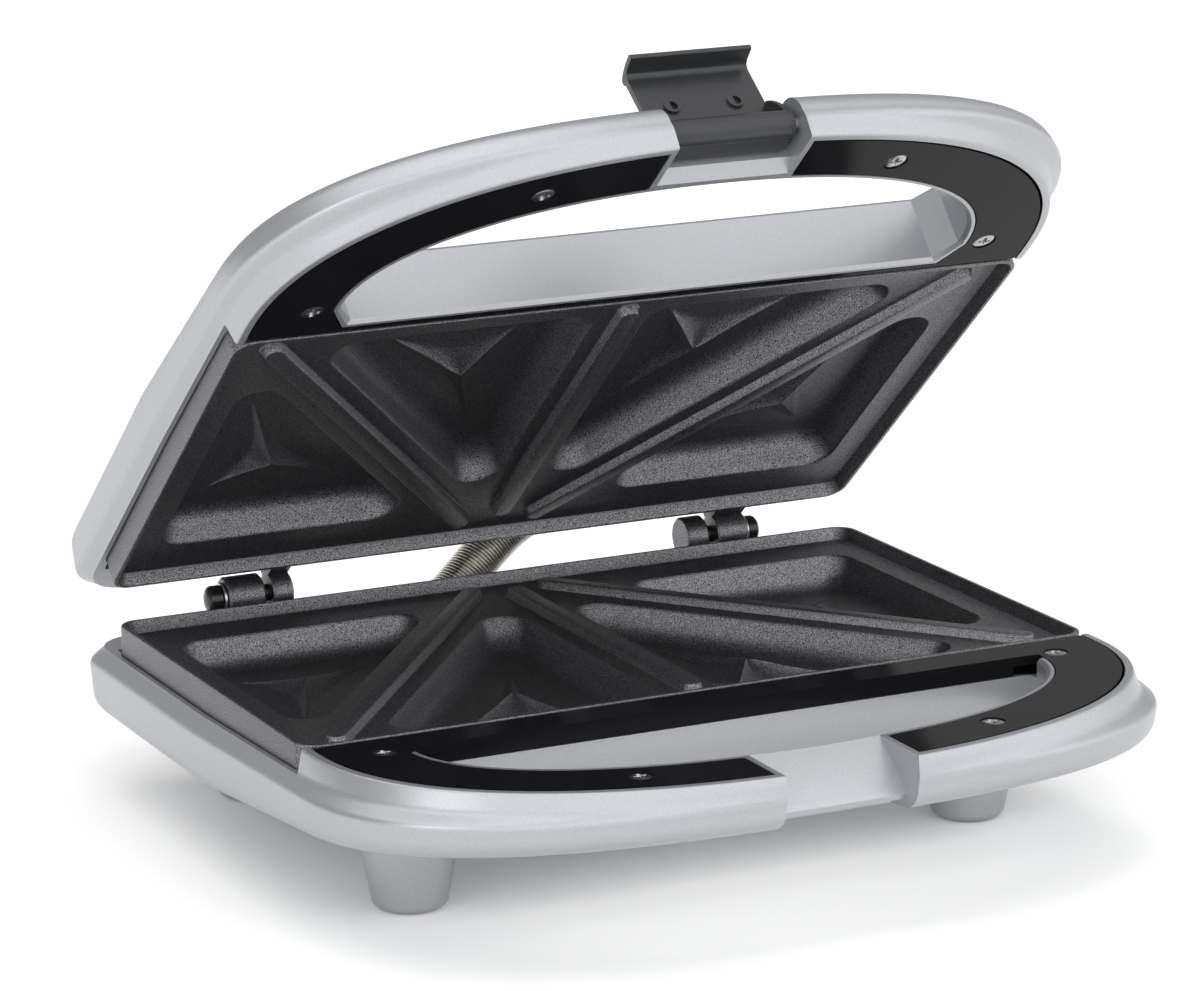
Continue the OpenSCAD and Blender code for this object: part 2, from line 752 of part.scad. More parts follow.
module trim(loop_back, flange) {
    inner = plate_half + room - wall;
    front = wall - handle_reach + room;
    hole = wall - 0.5 + trim_gap;
    notch = recess_half + latch_wall + trim_gap;
    difference() {
        union() {
            translate([0, 0, trim_floor])
                linear_extrude(trim_t)
                    difference() {
                        polygon(concat(
                            front_curve(inner - trim_gap, front + trim_gap, curve_y,
                                        rim_power, 48),
                            [[inner - trim_gap, -trim_rear], [trim_gap - inner, -trim_rear]]));
                        intersection() {
                            polygon(loop_outline(loop_back, hole));
                            translate([-shell_half, -handle_reach])
                                square([shell_w, handle_reach - (flange ? loop_back : 0)]);
                        }
                        translate([-notch, -handle_reach - over])
                            square([2 * notch, handle_reach + over - loop_front + 2]);
                    }
            // lip over the back wall of the finger opening
            if (flange)
                translate([-loop_corner_half, -loop_back, -5.4])
                    cube([2 * loop_corner_half, 2, 5.4 - trim_drop - 0.1]);
        }
        both_sides()
            for (p = [front_screw, outer_screw]) {
                translate([p[0], p[1], trim_floor - over])
                    cylinder(h = trim_t + 2 * over, r = screw_d / 2 + fit);
                translate([p[0], p[1], -trim_drop - head_sink])
                    cylinder(h = head_sink + over, r = trim_head_d / 2 + fit);
            }
    }
}

head_sink = 1.4;
head_t = 1.3;

// Cross-head screw with its head top at z = 0, pointing down
module cross_screw(head_d, shank_d, length, thick) {
    difference() {
        union() {
            translate([0, 0, -thick]) cylinder(h = thick, d = head_d);
            translate([0, 0, -thick - length]) cylinder(h = length + 0.1, d = shank_d);
        }
        for (turn = [0, 90])
            rotate([0, 0, turn])
                translate([-head_d * 0.3, -head_d * 0.07, -thick * 0.6])
                    cube([head_d * 0.6, head_d * 0.14, thick]);
    }
}

module trim_screws() {
    both_sides()
        for (p = [front_screw, outer_screw])
            translate([p[0], p[1], -trim_drop - head_sink + head_t])
                cross_screw(trim_head_d, screw_d, trim_screw_l, head_t);
}

module rear_screws() {
    both_sides()
        translate([rear_screw_x, rear_head_y + head_t + 0.1, rear_screw_z])
            rotate([-90, 0, 0])
                cross_screw(rear_head_d, screw_d, rear_head_y - plate_d, head_t);
}

module lower_trim() {
    color("#141416") base_place() trim(loop_back_base, true);
}
module upper_trim() {
    color("#141416") lid_place() trim(loop_back_lid, false);
}
module lower_trim_screws() {
    color("gray") base_place() trim_screws();
}
module upper_trim_screws() {
    color("gray") lid_place() trim_screws();
}
module lower_rear_screws() {
    color("gray") base_place() rear_screws();
}
module upper_rear_screws() {
    color("gray") lid_place() rear_screws();
}

// ---------------------------------------------------------------- heating

seat_gap = 0.05;
element_z = under_z - seat_gap - element_d / 2;
element_bend = 12;
tail_bend = 8;
tail_x = 8;
tail_end = element_back + tail_bend + 7;
pin_end = tail_end + 7;

module bend(x, y, r, from) {
    translate([x, y, element_z])
        rotate([0, 0, from])
            rotate_extrude(angle = 90) translate([r, 0]) circle(d = element_d);
}

module straight(from, to, d) {
    run = to - from;
    translate([from[0], from[1], element_z])
        rotate([0, 90, atan2(run[1], run[0])]) cylinder(h = norm(run), d = d);
}

module element() {
    x1 = element_half - element_bend;
    y0 = element_front + element_bend;
    y1 = element_back - element_bend;
    straight([-x1, element_front], [x1, element_front], element_d);
    both_sides() {
        bend(x1, y0, element_bend, 270);
        straight([element_half, y0], [element_half, y1], element_d);
        bend(x1, y1, element_bend, 0);
        straight([x1, element_back], [tail_x + tail_bend, element_back], element_d);
        bend(tail_x + tail_bend, element_back + tail_bend, tail_bend, 180);
        straight([tail_x, element_back + tail_bend], [tail_x, tail_end], element_d);
        straight([tail_x, tail_end - 0.1], [tail_x, pin_end], 2.4);
    }
}

clip_w = 8;
module element_clips() {
    inner_r = element_d / 2 + seat_gap;
    outer_r = inner_r + sheet_t;
    for (i = [0:len(clip_bosses) - 1])
        translate([clip_bosses[i][0], clip_bosses[i][1], element_z])
            rotate([0, 0, clip_turns[i]])
                difference() {
                    translate([-clip_reach, clip_w / 2, 0])
                        rotate([90, 0, 0])
                            linear_extrude(clip_w) {
                                difference() {
                                    circle(r = outer_r);
                                    circle(r = inner_r);
                                    translate([-outer_r - over, 0])
                                        square([2 * (outer_r + over), outer_r + over]);
                                }
                                for (x = [-outer_r, inner_r])
                                    translate([x, -0.1])
                                        square([sheet_t, inner_r + 0.05]);
                                translate([inner_r, inner_r - sheet_t])
                                    square([clip_reach + boss_r - inner_r, sheet_t]);
                            }
                    translate([0, 0, -over])
                        cylinder(h = 6, r = clip_screw_d / 2 + fit);
                }
}

module clip_screws() {
    for (p = clip_bosses)
        translate([p[0], p[1], under_z - sheet_t])
            mirror([0, 0, 1]) {
                cylinder(h = 1.5, d = 4.6);
                translate([0, 0, -5]) cylinder(h = 5.1, d = clip_screw_d);
            }
}

module reflector(level) {
    translate([0, 0, reflector_z(level) - sheet_t])
        linear_extrude(sheet_t)
            polygon(rounded_rect(reflector_half, reflector_front, reflector_back, 8));
}

module lower_element() {
    color("darkslategray") base_place() element();
}
module upper_element() {
    color("darkslategray") lid_place() element();
}
module lower_element_clips() {
    color("lightgray") base_place() element_clips();
}
module upper_element_clips() {
    color("lightgray") lid_place() element_clips();
}
module lower_clip_screws() {
    color("gray") base_place() clip_screws();
}
module upper_clip_screws() {
    color("gray") lid_place() clip_screws();
}
module lower_reflector() {
    color("lightsteelblue") base_place() reflector(base_depth);
}
module upper_reflector() {
    color("lightsteelblue") lid_place() reflector(lid_depth);
}

// ---------------------------------------------------------------- wiring

thermostat_r = 8;
thermostat_h = 6.5;
tab_z = under_z - thermostat_h + 1.2;
module thermostat() {
    color("ivory")
        base_place()
            translate([thermostat_at[0], thermostat_at[1], under_z - seat_gap]) {
                translate([0, 0, -thermostat_h]) cylinder(h = thermostat_h, r = thermostat_r);
                translate([0, 0, -0.1]) cylinder(h = 5, d = clip_screw_d);
                both_sides()
                    translate([thermostat_r - 0.5, -2.5, 1.2 - thermostat_h])
                        cube([5, 5, sheet_t]);
            }
}

// The fuse lies under the land between the rear pockets, along the toaster's middle
channel_x = 2.4;
fuse_at = [channel_x, 100];
fuse_r = 1.9;
fuse_half = 6;
lead_half = 9;
fuse_z = -ledge_drop - plate_t - seat_gap - fuse_r;
module thermal_fuse() {
    color("silver")
        base_place()
            translate([fuse_at[0], fuse_at[1], fuse_z])
                rotate([90, 0, 0]) {
                    translate([0, 0, -fuse_half]) cylinder(h = 2 * fuse_half, r = fuse_r);
                    translate([0, 0, -lead_half]) cylinder(h = 2 * lead_half, r = 0.5);
                }
}

block_at = [34, plate_d - 13.4];
block_size = [26, 10, 9];
block_floor = wall - base_depth;
block_z = block_floor + 4;
module terminal_block() {
    color("ivory")
        base_place()
            difference() {
                translate([block_at[0], block_at[1], block_floor]) cube(block_size);
                for (k = [0:2])
                    translate([block_at[0] + 5 + 8 * k, block_at[1] + block_size[1] / 2,
                               block_floor + 4])
                        cylinder(h = block_size[2], r = 1.8);
            }
}

wire_r = 1;
wire_sides = 8;

// Sides of the wire at its point i, carried along from its start
function wire_side(p, i) =
    i == 0 ? unit(cross(p[1] - p[0], [0.31, 0.17, 0.93]))
    : let (t = unit(p[i] - p[i - 1]), u = wire_side(p, i - 1)) unit(u - (u * t) * t);

// Ring round point i, in the plane that halves the bend there
function wire_ring(p, i, r) =
    let (last = len(p) - 1,
         before = unit(i == 0 ? p[1] - p[0] : p[i] - p[i - 1]),
         after = unit(i == last ? p[last] - p[last - 1] : p[i + 1] - p[i]),
         plane = unit(before + after),
         u = wire_side(p, max(i, 1)), v = cross(before, u))
    [for (k = [0:wire_sides - 1])
        let (a = 360 * k / wire_sides, q = r * (cos(a) * u + sin(a) * v))
        p[i] + q - before * ((q * plane) / (before * plane))];

// Round wire through points, mitred at its bends
module wire(points, r = wire_r) {
    rings([for (i = [0:len(points) - 1]) wire_ring(points, i, r)]);
}

tail_tip = pin_end + wire_r + 0.3;
// Lines along which the wires pass behind the element and to the conduit
behind_y = tail_tip + 3;
back_y = plate_d - 3.4;
end_gap = wire_r + 0.3;
module lower_wiring() {
    z0 = conduit_z(base_depth);
    fuse_front = fuse_at[1] - lead_half - end_gap;
    fuse_back = fuse_at[1] + lead_half + end_gap;
    block_side = block_at[0] - 0.5;
    color("firebrick")
        base_place() {
            // element to terminal block
            wire([[tail_x, tail_tip, element_z], [tail_x + 4, tail_tip - 1, block_z],
                  [block_side, block_at[1] + 1.4, block_z]]);
            // element to thermostat, forward between the element's tails
            wire([[-tail_x, tail_tip, element_z], [-tail_x + 2, behind_y, element_z],
                  [-channel_x, behind_y, element_z], [-channel_x, element_back - 6, element_z],
                  [-thermostat_r - 6, thermostat_at[1] + 4, tab_z]]);
            // thermostat to fuse, and fuse to terminal block
            wire([[thermostat_r + 6, thermostat_at[1] + 4, tab_z],
                  [channel_x + 3, fuse_front - 3, fuse_z - 4], [channel_x, fuse_front, fuse_z]]);
            wire([[channel_x, fuse_back, fuse_z], [channel_x, fuse_back + 4, element_z + 5],
                  [channel_x, behind_y + 1.2, element_z],
                  [block_side - 8, block_at[1] + 4, block_z],
                  [block_side, block_at[1] + 4, block_z]]);
            // terminal block to the conduit's ferrule
            for (k = [0, 1])
                wire([[block_side, block_at[1] + 9 - 2.4 * k, block_z - 0.4],
                      [-alcove_half - 2, back_y - 1 - 3.5 * k, block_z - 0.4],
                      [-ferrule_in - 3 - 5 * k, conduit_y - 8 + 2 * k, z0 - 1],
                      [-ferrule_in - end_gap, conduit_y - 1.8 + 3.6 * k, z0]]);
        }
}

lead_z = under_z - 1.3;
module upper_wiring() {
    z0 = conduit_z(lid_depth);
    deep = -(lid_depth - wall - end_gap);
    color("firebrick")
        lid_place() {
            // element to the conduit's ferrule
            wire([[ferrule_in + end_gap, conduit_y - 2.4, z0], [ferrule_in + 2, back_y, z0 - 2.6],
                  [tail_x + 6, behind_y, z0 - 2.6], [tail_x, tail_tip, element_z]]);
            wire([[ferrule_in + end_gap, conduit_y + 2.4, z0 - 2],
                  [ferrule_in + 5, back_y + 3, deep + 0.2], [ferrule_in - 4, tail_tip + 1, deep],
                  [0, tail_tip + 1, deep], [-tail_x, tail_tip, element_z]]);
            // lamps to the conduit's ferrule, along the side of the cavity
            for (k = [0, 1])
                wire([[k * 2 * lamp_x - lamp_x, lamp_y + 3.5, lead_z],
                      [k * 2 * lamp_x - lamp_x, 14 - 3 * k, lead_z],
                      [83.5 + 2.5 * k, 17 - 4 * k, lead_z],
                      [83.5 + 2.5 * k, plate_d - 16.4, lead_z],
                      [ferrule_in + 7.5 + 2.5 * k, plate_d - 1.4, z0 + 1],
                      [ferrule_in + end_gap, conduit_y + 0.8 * k, z0 + 1.5 + 1.6 * k]],
                     r = 0.7);
        }
}

module cord_grommet() {
    inner_y = gland_seat_y - seat_gap - gland_flange_t;
    length = plate_d + shell_back + bevel + 1 - inner_y;
    color("#1b1b1d")
        base_place()
            translate([gland_x, inner_y, gland_z])
                rotate([-90, 0, 0])
                    difference() {
                        union() {
                            cylinder(h = length, r = gland_r);
                            cylinder(h = gland_flange_t, r = gland_flange_r);
                        }
                        translate([0, 0, -over])
                            cylinder(h = length + 2 * over, r = gland_r - 1.6);
                    }
}

// Turned steel ferrule that clamps an end of the conduit, drawn on the left
module ferrule(level) {
    translate([-ferrule_in, conduit_y, conduit_z(level)])
        rotate([0, 90, 0])
            difference() {
                union() {
                    cylinder(h = wall + ferrule_neck, r = ferrule_neck_r);
                    translate([0, 0, wall + ferrule_neck])
                        cylinder(h = ferrule_flange, r = ferrule_r);
                }
                translate([0, 0, -over])
                    cylinder(h = wall + ferrule_neck + ferrule_flange + 2 * over,
                             r = ferrule_bore_r);
            }
}

module lower_conduit_ferrule() {
    color("lightgray") base_place() ferrule(base_depth);
}
module upper_conduit_ferrule() {
    color("lightgray") lid_place() mirror([1, 0, 0]) ferrule(lid_depth);
}

// ---------------------------------------------------------------- conduit

// Ends of the conduit on the faces of its two ferrules, along the hinge
hose_x = alcove_half - ferrule_flange;
hose_from = [-hose_x, conduit_y, conduit_z(base_depth)];
hose_to = swung([hose_x, conduit_y, closed_gap - conduit_z(lid_depth)]);
hose_straight = conduit_d;
hose_a = hose_from + [hose_straight, 0, 0];
hose_b = hose_to - [hose_straight, 0, 0];
hose_pull = (hose_b[0] - hose_a[0]) * 0.42;

// Middle line of the bend, from hose_a at t = 0 to hose_b at t = 1
function hose_bend(t) =
    let (s = 1 - t)
    s * s * s * hose_a + 3 * s * s * t * (hose_a + [hose_pull, 0, 0])
    + 3 * s * t * t * (hose_b - [hose_pull, 0, 0]) + t * t * t * hose_b;

hose_rings = 2 * rib_count;
straight_rings = 2 * round(hose_straight * rib_count / (hose_b[0] - hose_a[0]) * 0.92);
hose_line = concat(
    [for (k = [0:straight_rings - 1]) hose_from + (hose_a - hose_from) * k / straight_rings],
    [for (k = [0:hose_rings]) hose_bend(k / hose_rings)],
    [for (k = [1:straight_rings]) hose_b + (hose_to - hose_b) * k / straight_rings]);

function unit(v) = v / norm(v);
// Ring of eight points square to the line at point i
function hose_ring(i, r) =
    let (last = len(hose_line) - 1,
         t = unit(hose_line[min(i + 1, last)] - hose_line[max(i - 1, 0)]),
         u = unit(cross(t, [0, 1, 0])), v = cross(u, t))
    [for (k = [0:7]) hose_line[i] + r * (cos(45 * k) * u + sin(45 * k) * v)];

echo(least_rib_gap = min([for (i = [0:2:len(hose_line) - 3])
    norm(hose_line[i + 2] - hose_line[i]) ]));

module flexible_conduit() {
    bore_step = 8;
    last = len(hose_line) - 1;
    bore_at = concat([for (i = [0:bore_step:last - 1]) i], [last]);
    outer = [for (i = [0:last])
        hose_ring(i, i % 2 == 0 ? conduit_r : conduit_r - groove_depth)];
    inner = [for (i = bore_at) hose_ring(i, ferrule_bore_r)];
    n = 8;
    m = n * len(outer);
    e = n * (len(inner) - 1);
    color("lightgray")
        base_place()
            polyhedron(
                points = concat([for (r = outer, p = r) p], [for (r = inner, p = r) p]),
                faces = concat(
                    [for (k = [0:last - 1], i = [0:n - 1])
                        [k * n + i, k * n + (i + 1) % n, (k + 1) * n + (i + 1) % n]],
                    [for (k = [0:last - 1], i = [0:n - 1])
                        [k * n + i, (k + 1) * n + (i + 1) % n, (k + 1) * n + i]],
                    [for (k = [0:len(inner) - 2], i = [0:n - 1])
                        [m + k * n + i, m + (k + 1) * n + (i + 1) % n, m + k * n + (i + 1) % n]],
                    [for (k = [0:len(inner) - 2], i = [0:n - 1])
                        [m + k * n + i, m + (k + 1) * n + i, m + (k + 1) * n + (i + 1) % n]],
                    [for (i = [0:n - 1]) [i, m + (i + 1) % n, (i + 1) % n]],
                    [for (i = [0:n - 1]) [i, m + i, m + (i + 1) % n]],
                    [for (i = [0:n - 1])
                        [last * n + i, last * n + (i + 1) % n, m + e + (i + 1) % n]],
                    [for (i = [0:n - 1])
                        [last * n + i, m + e + (i + 1) % n, m + e + i]]));
}

// ---------------------------------------------------------------- hinges

head_r = 4;
head_len = 4.4;
washer_t = 0.8;
pin_play = 0.3;

// Domed pin along +x with the underside of its head at x = 0
module hinge_pin(length) {
    rotate([0, 90, 0]) {
        cylinder(h = length, d = pin_d);
        rotate_extrude()
            polygon(concat([[0, 0.1], [head_r, 0.1], [head_r, 2 - head_len]],
                           [for (a = [15:15:90])
                               [head_r * cos(a), 2 - head_len - (head_len - 2) * sin(a)]]));
    }
}

left_pin_x = base_knuckles[0][0] - washer_t - pin_play;
right_pin_x = lid_knuckles[1][1] + washer_t + pin_play;
module hinge_pin_left() {
    color("#1b1b1d")
        base_place()
            translate([left_pin_x, hinge_y, -hinge_drop])
                hinge_pin(lid_bores[0][1] - left_pin_x - pin_play);
}
module hinge_pin_right() {
    color("#1b1b1d")
        base_place()
            translate([right_pin_x, hinge_y, -hinge_drop])
                mirror([1, 0, 0]) hinge_pin(right_pin_x - base_bores[1][0] - pin_play);
}
module hinge_washers() {
    color("lightgray")
        base_place()
            for (x = [left_pin_x + pin_play / 2, right_pin_x - pin_play / 2 - washer_t])
                translate([x, hinge_y, -hinge_drop])
                    rotate([0, 90, 0])
                        difference() {
                            cylinder(h = washer_t, r = head_r + 0.6);
                            translate([0, 0, -over])
                                cylinder(h = washer_t + 2 * over, r = pin_d / 2 + fit);
                        }
}

// ---------------------------------------------------------------- lamps

// Depth of the lid's inner and outer faces at the lamps
lamp_out = depth_at(lamp_y, lid_depth, lid_nose);
lamp_in = lamp_out - wall;
lens_stand = 0.9;
module lamp_lens() {
    translate([0, lamp_y, -lamp_out - lens_stand]) {
        cylinder(h = wall + lens_stand + 1.6, r = lens_r);
        translate([0, 0, wall + lens_stand + 0.5]) cylinder(h = 1.1, r = lens_r + 0.9);
    }
}
module power_lamp_lens() {
    color("red") lid_place() translate([-lamp_x, 0, 0]) lamp_lens();
}
module ready_lamp_lens() {
    color("green") lid_place() translate([lamp_x, 0, 0]) lamp_lens();
}
module indicator_lamps() {
    color("orange")
        lid_place()
            both_sides()
                translate([lamp_x, lamp_y, 1.7 - lamp_in]) {
                    cylinder(h = 7.5, r = 2.4);
                    cylinder(h = 1.2, r = 3);
                }
}

// ---------------------------------------------------------------- latch

flap_up = [sin(flap_lean), cos(flap_lean)];
flap_out = [cos(flap_lean), -sin(flap_lean)];
// Point of the flap's section: along the flap from the pin, and out from it
function flap_at(along, out) = [-latch_y, latch_z] + along * flap_up + out * flap_out;
flap_in = 5;
flap_t = 1.9;

module flap_section(points, from, to) {
    rotate([90, 0, 90])
        translate([0, 0, from]) linear_extrude(to - from) polygon(points);
}

module latch_flap() {
    o = flap_in + flap_t;
    l = flap_len;
    color("#3a3b3e")
        lid_place() mirror([0, 0, 1])
            difference() {
                union() {
                    // plate, hook and the lip behind it
                    flap_section([flap_at(-2.4, flap_in), flap_at(l - 3.4, flap_in),
                                  flap_at(l - 2.1, flap_in - 0.5), flap_at(l - 1.6, flap_in - 1.9),
                                  flap_at(l - 1.7, -1), flap_at(l - 0.9, -1.4),
                                  flap_at(l - 0.1, -0.9), flap_at(l, 3),
                                  flap_at(l - 0.5, o - 1), flap_at(l - 1.2, o + 0.6),
                                  flap_at(l - 2, o + 0.9), flap_at(l - 2.8, o + 0.7),
                                  flap_at(l - 3.6, o), flap_at(-2.4, o)],
                                 -flap_half, flap_half);
                    // web from the barrel to the plate
                    flap_section([flap_at(-2.4, 0), flap_at(1, 0), flap_at(1, flap_in + 0.5),
                                  flap_at(-2.4, flap_in + 0.5)],
                                 -flap_half, flap_half);
                    translate([-flap_half, -latch_y, latch_z])
                        rotate([0, 90, 0]) cylinder(h = 2 * flap_half, d = barrel_d);
                    // cheeks
                    both_sides()
                        flap_section([[-latch_y - barrel_d / 2, latch_z], flap_at(6.6, -1.2),
                                      flap_at(11.4, 2.6), flap_at(11.6, flap_in + 0.5),
                                      flap_at(0, flap_in + 0.5), flap_at(-2.4, 1)],
                                     flap_half - 1.2, flap_half);
                    // two round bosses on the inner face
                    both_sides()
                        translate([9, flap_at(14, 0)[0], flap_at(14, 0)[1]])
                            rotate([-90 - flap_lean, 0, 0])
                                translate([0, 0, flap_in - 0.7]) cylinder(h = 1.2, r = 2.2);
                }
                translate([-flap_half - over, -latch_y, latch_z])
                    rotate([0, 90, 0])
                        cylinder(h = 2 * (flap_half + over), r = latch_pin_d / 2 + fit);
            }
}

module latch_pin() {
    length = 2 * (recess_half + latch_wall) - 0.4;
    color("lightgray")
        lid_place()
            translate([-length / 2, -latch_y, -latch_z])
                rotate([0, 90, 0]) cylinder(h = length, d = latch_pin_d);
}

lower_shell();
foot_pads();
lower_plate();
lower_trim();
lower_trim_screws();
lower_rear_screws();
lower_element();
lower_element_clips();
lower_clip_screws();
lower_reflector();
thermostat();
thermal_fuse();
terminal_block();
lower_wiring();
cord_grommet();
lower_conduit_ferrule();
hinge_pin_left();
hinge_pin_right();
hinge_washers();
flexible_conduit();
upper_shell();
upper_plate();
upper_trim();
upper_trim_screws();
upper_rear_screws();
upper_element();
upper_element_clips();
upper_clip_screws();
upper_reflector();
upper_wiring();
upper_conduit_ferrule();
power_lamp_lens();
ready_lamp_lens();
indicator_lamps();
latch_pin();
latch_flap();
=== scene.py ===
import json
import math

import bmesh
import bpy
from mathutils import Matrix, Vector


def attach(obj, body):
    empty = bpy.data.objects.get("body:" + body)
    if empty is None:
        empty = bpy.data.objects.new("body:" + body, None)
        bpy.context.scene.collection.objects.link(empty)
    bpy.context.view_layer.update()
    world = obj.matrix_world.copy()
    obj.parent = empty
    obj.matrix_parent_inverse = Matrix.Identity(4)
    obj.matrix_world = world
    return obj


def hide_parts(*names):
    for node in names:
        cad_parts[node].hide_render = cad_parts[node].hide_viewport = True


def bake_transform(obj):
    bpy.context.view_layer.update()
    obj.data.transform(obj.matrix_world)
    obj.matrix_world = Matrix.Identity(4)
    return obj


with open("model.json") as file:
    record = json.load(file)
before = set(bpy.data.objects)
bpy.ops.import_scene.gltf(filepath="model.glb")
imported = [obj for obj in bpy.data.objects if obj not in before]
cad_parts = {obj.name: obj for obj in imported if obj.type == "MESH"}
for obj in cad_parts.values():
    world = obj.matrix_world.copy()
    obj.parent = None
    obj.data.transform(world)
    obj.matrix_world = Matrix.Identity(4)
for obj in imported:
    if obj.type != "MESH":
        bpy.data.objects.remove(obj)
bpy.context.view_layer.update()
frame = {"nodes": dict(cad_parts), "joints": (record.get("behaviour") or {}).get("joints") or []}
scene = bpy.context.scene
scene.view_settings.view_transform = "Standard"

# ---------------------------------------------------------------- camera
# A long lens from the front left, a little above the rims of the cooking
# plates, as the photograph was taken.
camera = bpy.data.objects.new("camera", bpy.data.cameras.new("camera"))
scene.collection.objects.link(camera)
camera.data.sensor_width = 36.0
camera.data.lens = 143.69
camera.data.clip_end = 20
eye = Vector((-0.54310, -1.12083, 0.39550))
aim = Vector((-0.138489, -0.270207, 0.165772))
tilt = math.radians(-0.83)
ahead = (aim - eye).normalized()
level_right = ahead.cross(Vector((0, 0, 1))).normalized()
level_up = level_right.cross(ahead)
right = math.cos(tilt) * level_right + math.sin(tilt) * level_up
up = -math.sin(tilt) * level_right + math.cos(tilt) * level_up
camera.matrix_world = Matrix.Translation(eye) @ Matrix((right, up, -ahead)).transposed().to_4x4()
scene.camera = camera

# ---------------------------------------------------------------- studio
# A pale floor under one wide soft light overhead, in a room that is paler in
# front and to the right than behind it, with a weak box at the left.
floor_mesh = bpy.data.meshes.new("studio_floor")
sweep = bmesh.new()
bmesh.ops.create_grid(sweep, x_segments=1, y_segments=1, size=6.0)
sweep.to_mesh(floor_mesh)
sweep.free()
floor = bpy.data.objects.new("studio_floor", floor_mesh)
scene.collection.objects.link(floor)
paper = bpy.data.materials.new("studio_paper")
paper.use_nodes = True
paper_shader = paper.node_tree.nodes["Principled BSDF"]
paper_shader.inputs["Base Color"].default_value = (0.95, 0.95, 0.95, 1)
paper_shader.inputs["Roughness"].default_value = 1.0
paper_shader.inputs["Specular IOR Level"].default_value = 0.0
paper_shader.inputs["Emission Color"].default_value = (1, 1, 1, 1)
paper_shader.inputs["Emission Strength"].default_value = 0.07
floor_mesh.materials.append(paper)

room = bpy.data.worlds.new("studio_room")
scene.world = room
room.use_nodes = True
room_nodes, room_links = room.node_tree.nodes, room.node_tree.links
towards = room_nodes.new("ShaderNodeTexCoord")
parts_of = room_nodes.new("ShaderNodeSeparateXYZ")
turned_room = room_nodes.new("ShaderNodeMapping")
turned_room.inputs["Rotation"].default_value[2] = math.radians(-18)
fade = room_nodes.new("ShaderNodeMapRange")
for socket, value in (("From Min", -0.6), ("From Max", 0.45), ("To Min", 1.7), ("To Max", 0.4)):
    fade.inputs[socket].default_value = value
room_links.new(towards.outputs["Generated"], turned_room.inputs["Vector"])
room_links.new(turned_room.outputs[0], parts_of.inputs[0])
room_links.new(parts_of.outputs["Y"], fade.inputs[0])
room_links.new(fade.outputs[0], room_nodes["Background"].inputs["Strength"])
room_nodes["Background"].inputs["Color"].default_value = (1, 1, 1, 1)

overhead = bpy.data.lights.new("overhead_light", "SUN")
overhead.energy = 0.9
overhead.angle = math.radians(60)
overhead_light = bpy.data.objects.new("overhead_light", overhead)
overhead_light.rotation_euler = (math.radians(-14), math.radians(-12), 0)
scene.collection.objects.link(overhead_light)

left_box = bpy.data.lights.new("left_box", "AREA")
left_box.shape = "RECTANGLE"
left_box.size, left_box.size_y = 0.5, 0.9
left_box.energy = 3
left_light = bpy.data.objects.new("left_box", left_box)
left_light.matrix_world = (Matrix.Translation((-1.2, -0.5, 0.6))
                           @ Vector((1.2, 0.5, -0.5)).to_track_quat("-Z", "Y").to_matrix().to_4x4())
scene.collection.objects.link(left_light)

# ---------------------------------------------------------------- shells
# Two moulded halves in silver-painted plastic: a drooping rim, a bevel down to
# the widest line, upright sides and a rounded flat. The front swells into a
# curved handle with a finger opening through it.
PLATE_HALF = 115.0
PLATE_DEPTH = 137.4
WALL = 2.5
SIDE_GAP = 1.5
SHELL_HALF = 120.0
EDGE_HALF = PLATE_HALF + SIDE_GAP
BEVEL = SHELL_HALF - EDGE_HALF
REACH = 79.0
SHELL_BACK = 14.6
SLOPE_Y = 65.0
SHELL_R = 6.8
CORNER_R = 12.0
CURVE_Y = -4.0
RIM_DROP = 0.3
DRAFT = 0.6
EDGE_SHARE, WIDEST_SHARE = 0.29, 0.44
RIM_POWER, EDGE_POWER, WIDEST_POWER = 2.24, 2.33, 2.55
LOOP_HALF, LOOP_FRONT, LOOP_SIDE_Y = 90.0, 57.6, -12.0
RIM_HEIGHT = 49.3
HINGE_Y = PLATE_DEPTH + 12.1
HINGE_DROP = 0.8
CLOSED_GAP = 0.5
OPEN_ANGLE = 40.3
OVER = 1.0
SCREW_HOLE_R, SCREW_HEAD_HOLE_R = 1.53, 3.33
FRONT_SCREW, SIDE_SCREW = (50, -60.5), (97.8, -12)
REAR_SCREW_X, REAR_SCREW_Z, REAR_HEAD_HOLE_R = 101, -15, 2.83
PLATE_POSTS = ((84, 72), (60, 112))
LATCH_Y, LATCH_Z, RECESS_HALF = -72, -8, 18.6
FOOT_X, FOOT_ROWS, FOOT_PAD_R = 82.8, (9, 118), 7.1
GLAND_X, GLAND_Z, GLAND_HOLE_R = -76, -17.5, 5.03
LAMP_X, LAMP_Y, LENS_HOLE_R = 16, 5.6, 3.23
FERRULE_HOLE_R = 5.33

# level depth, depth at the handle's front, back edge of the finger opening
BASE_HALF = (28.5, 15.0, 11.5)
LID_HALF = (25.0, 14.7, 4.8)

hinge_at = Vector(frame["joints"][0]["pos_m"])
BASE_PLACE = (Matrix.Translation(hinge_at) @ Matrix.Scale(0.001, 4)
              @ Matrix.Translation((0, -HINGE_Y, HINGE_DROP)))
LID_PLACE = (Matrix.Translation(hinge_at) @ Matrix.Scale(0.001, 4)
             @ Matrix.Rotation(math.radians(-OPEN_ANGLE), 4, "X")
             @ Matrix.Translation((0, -HINGE_Y, HINGE_DROP + CLOSED_GAP))
             @ Matrix.Diagonal((1, 1, -1, 1)))


def depth_at(y, half):
    level, nose = half[:2]
    return level if y >= SLOPE_Y else level - (SLOPE_Y - y) / (SLOPE_Y + REACH) * (level - nose)


def line_z(y, share, half):
    return -RIM_DROP - share * (depth_at(y, half) - RIM_DROP)


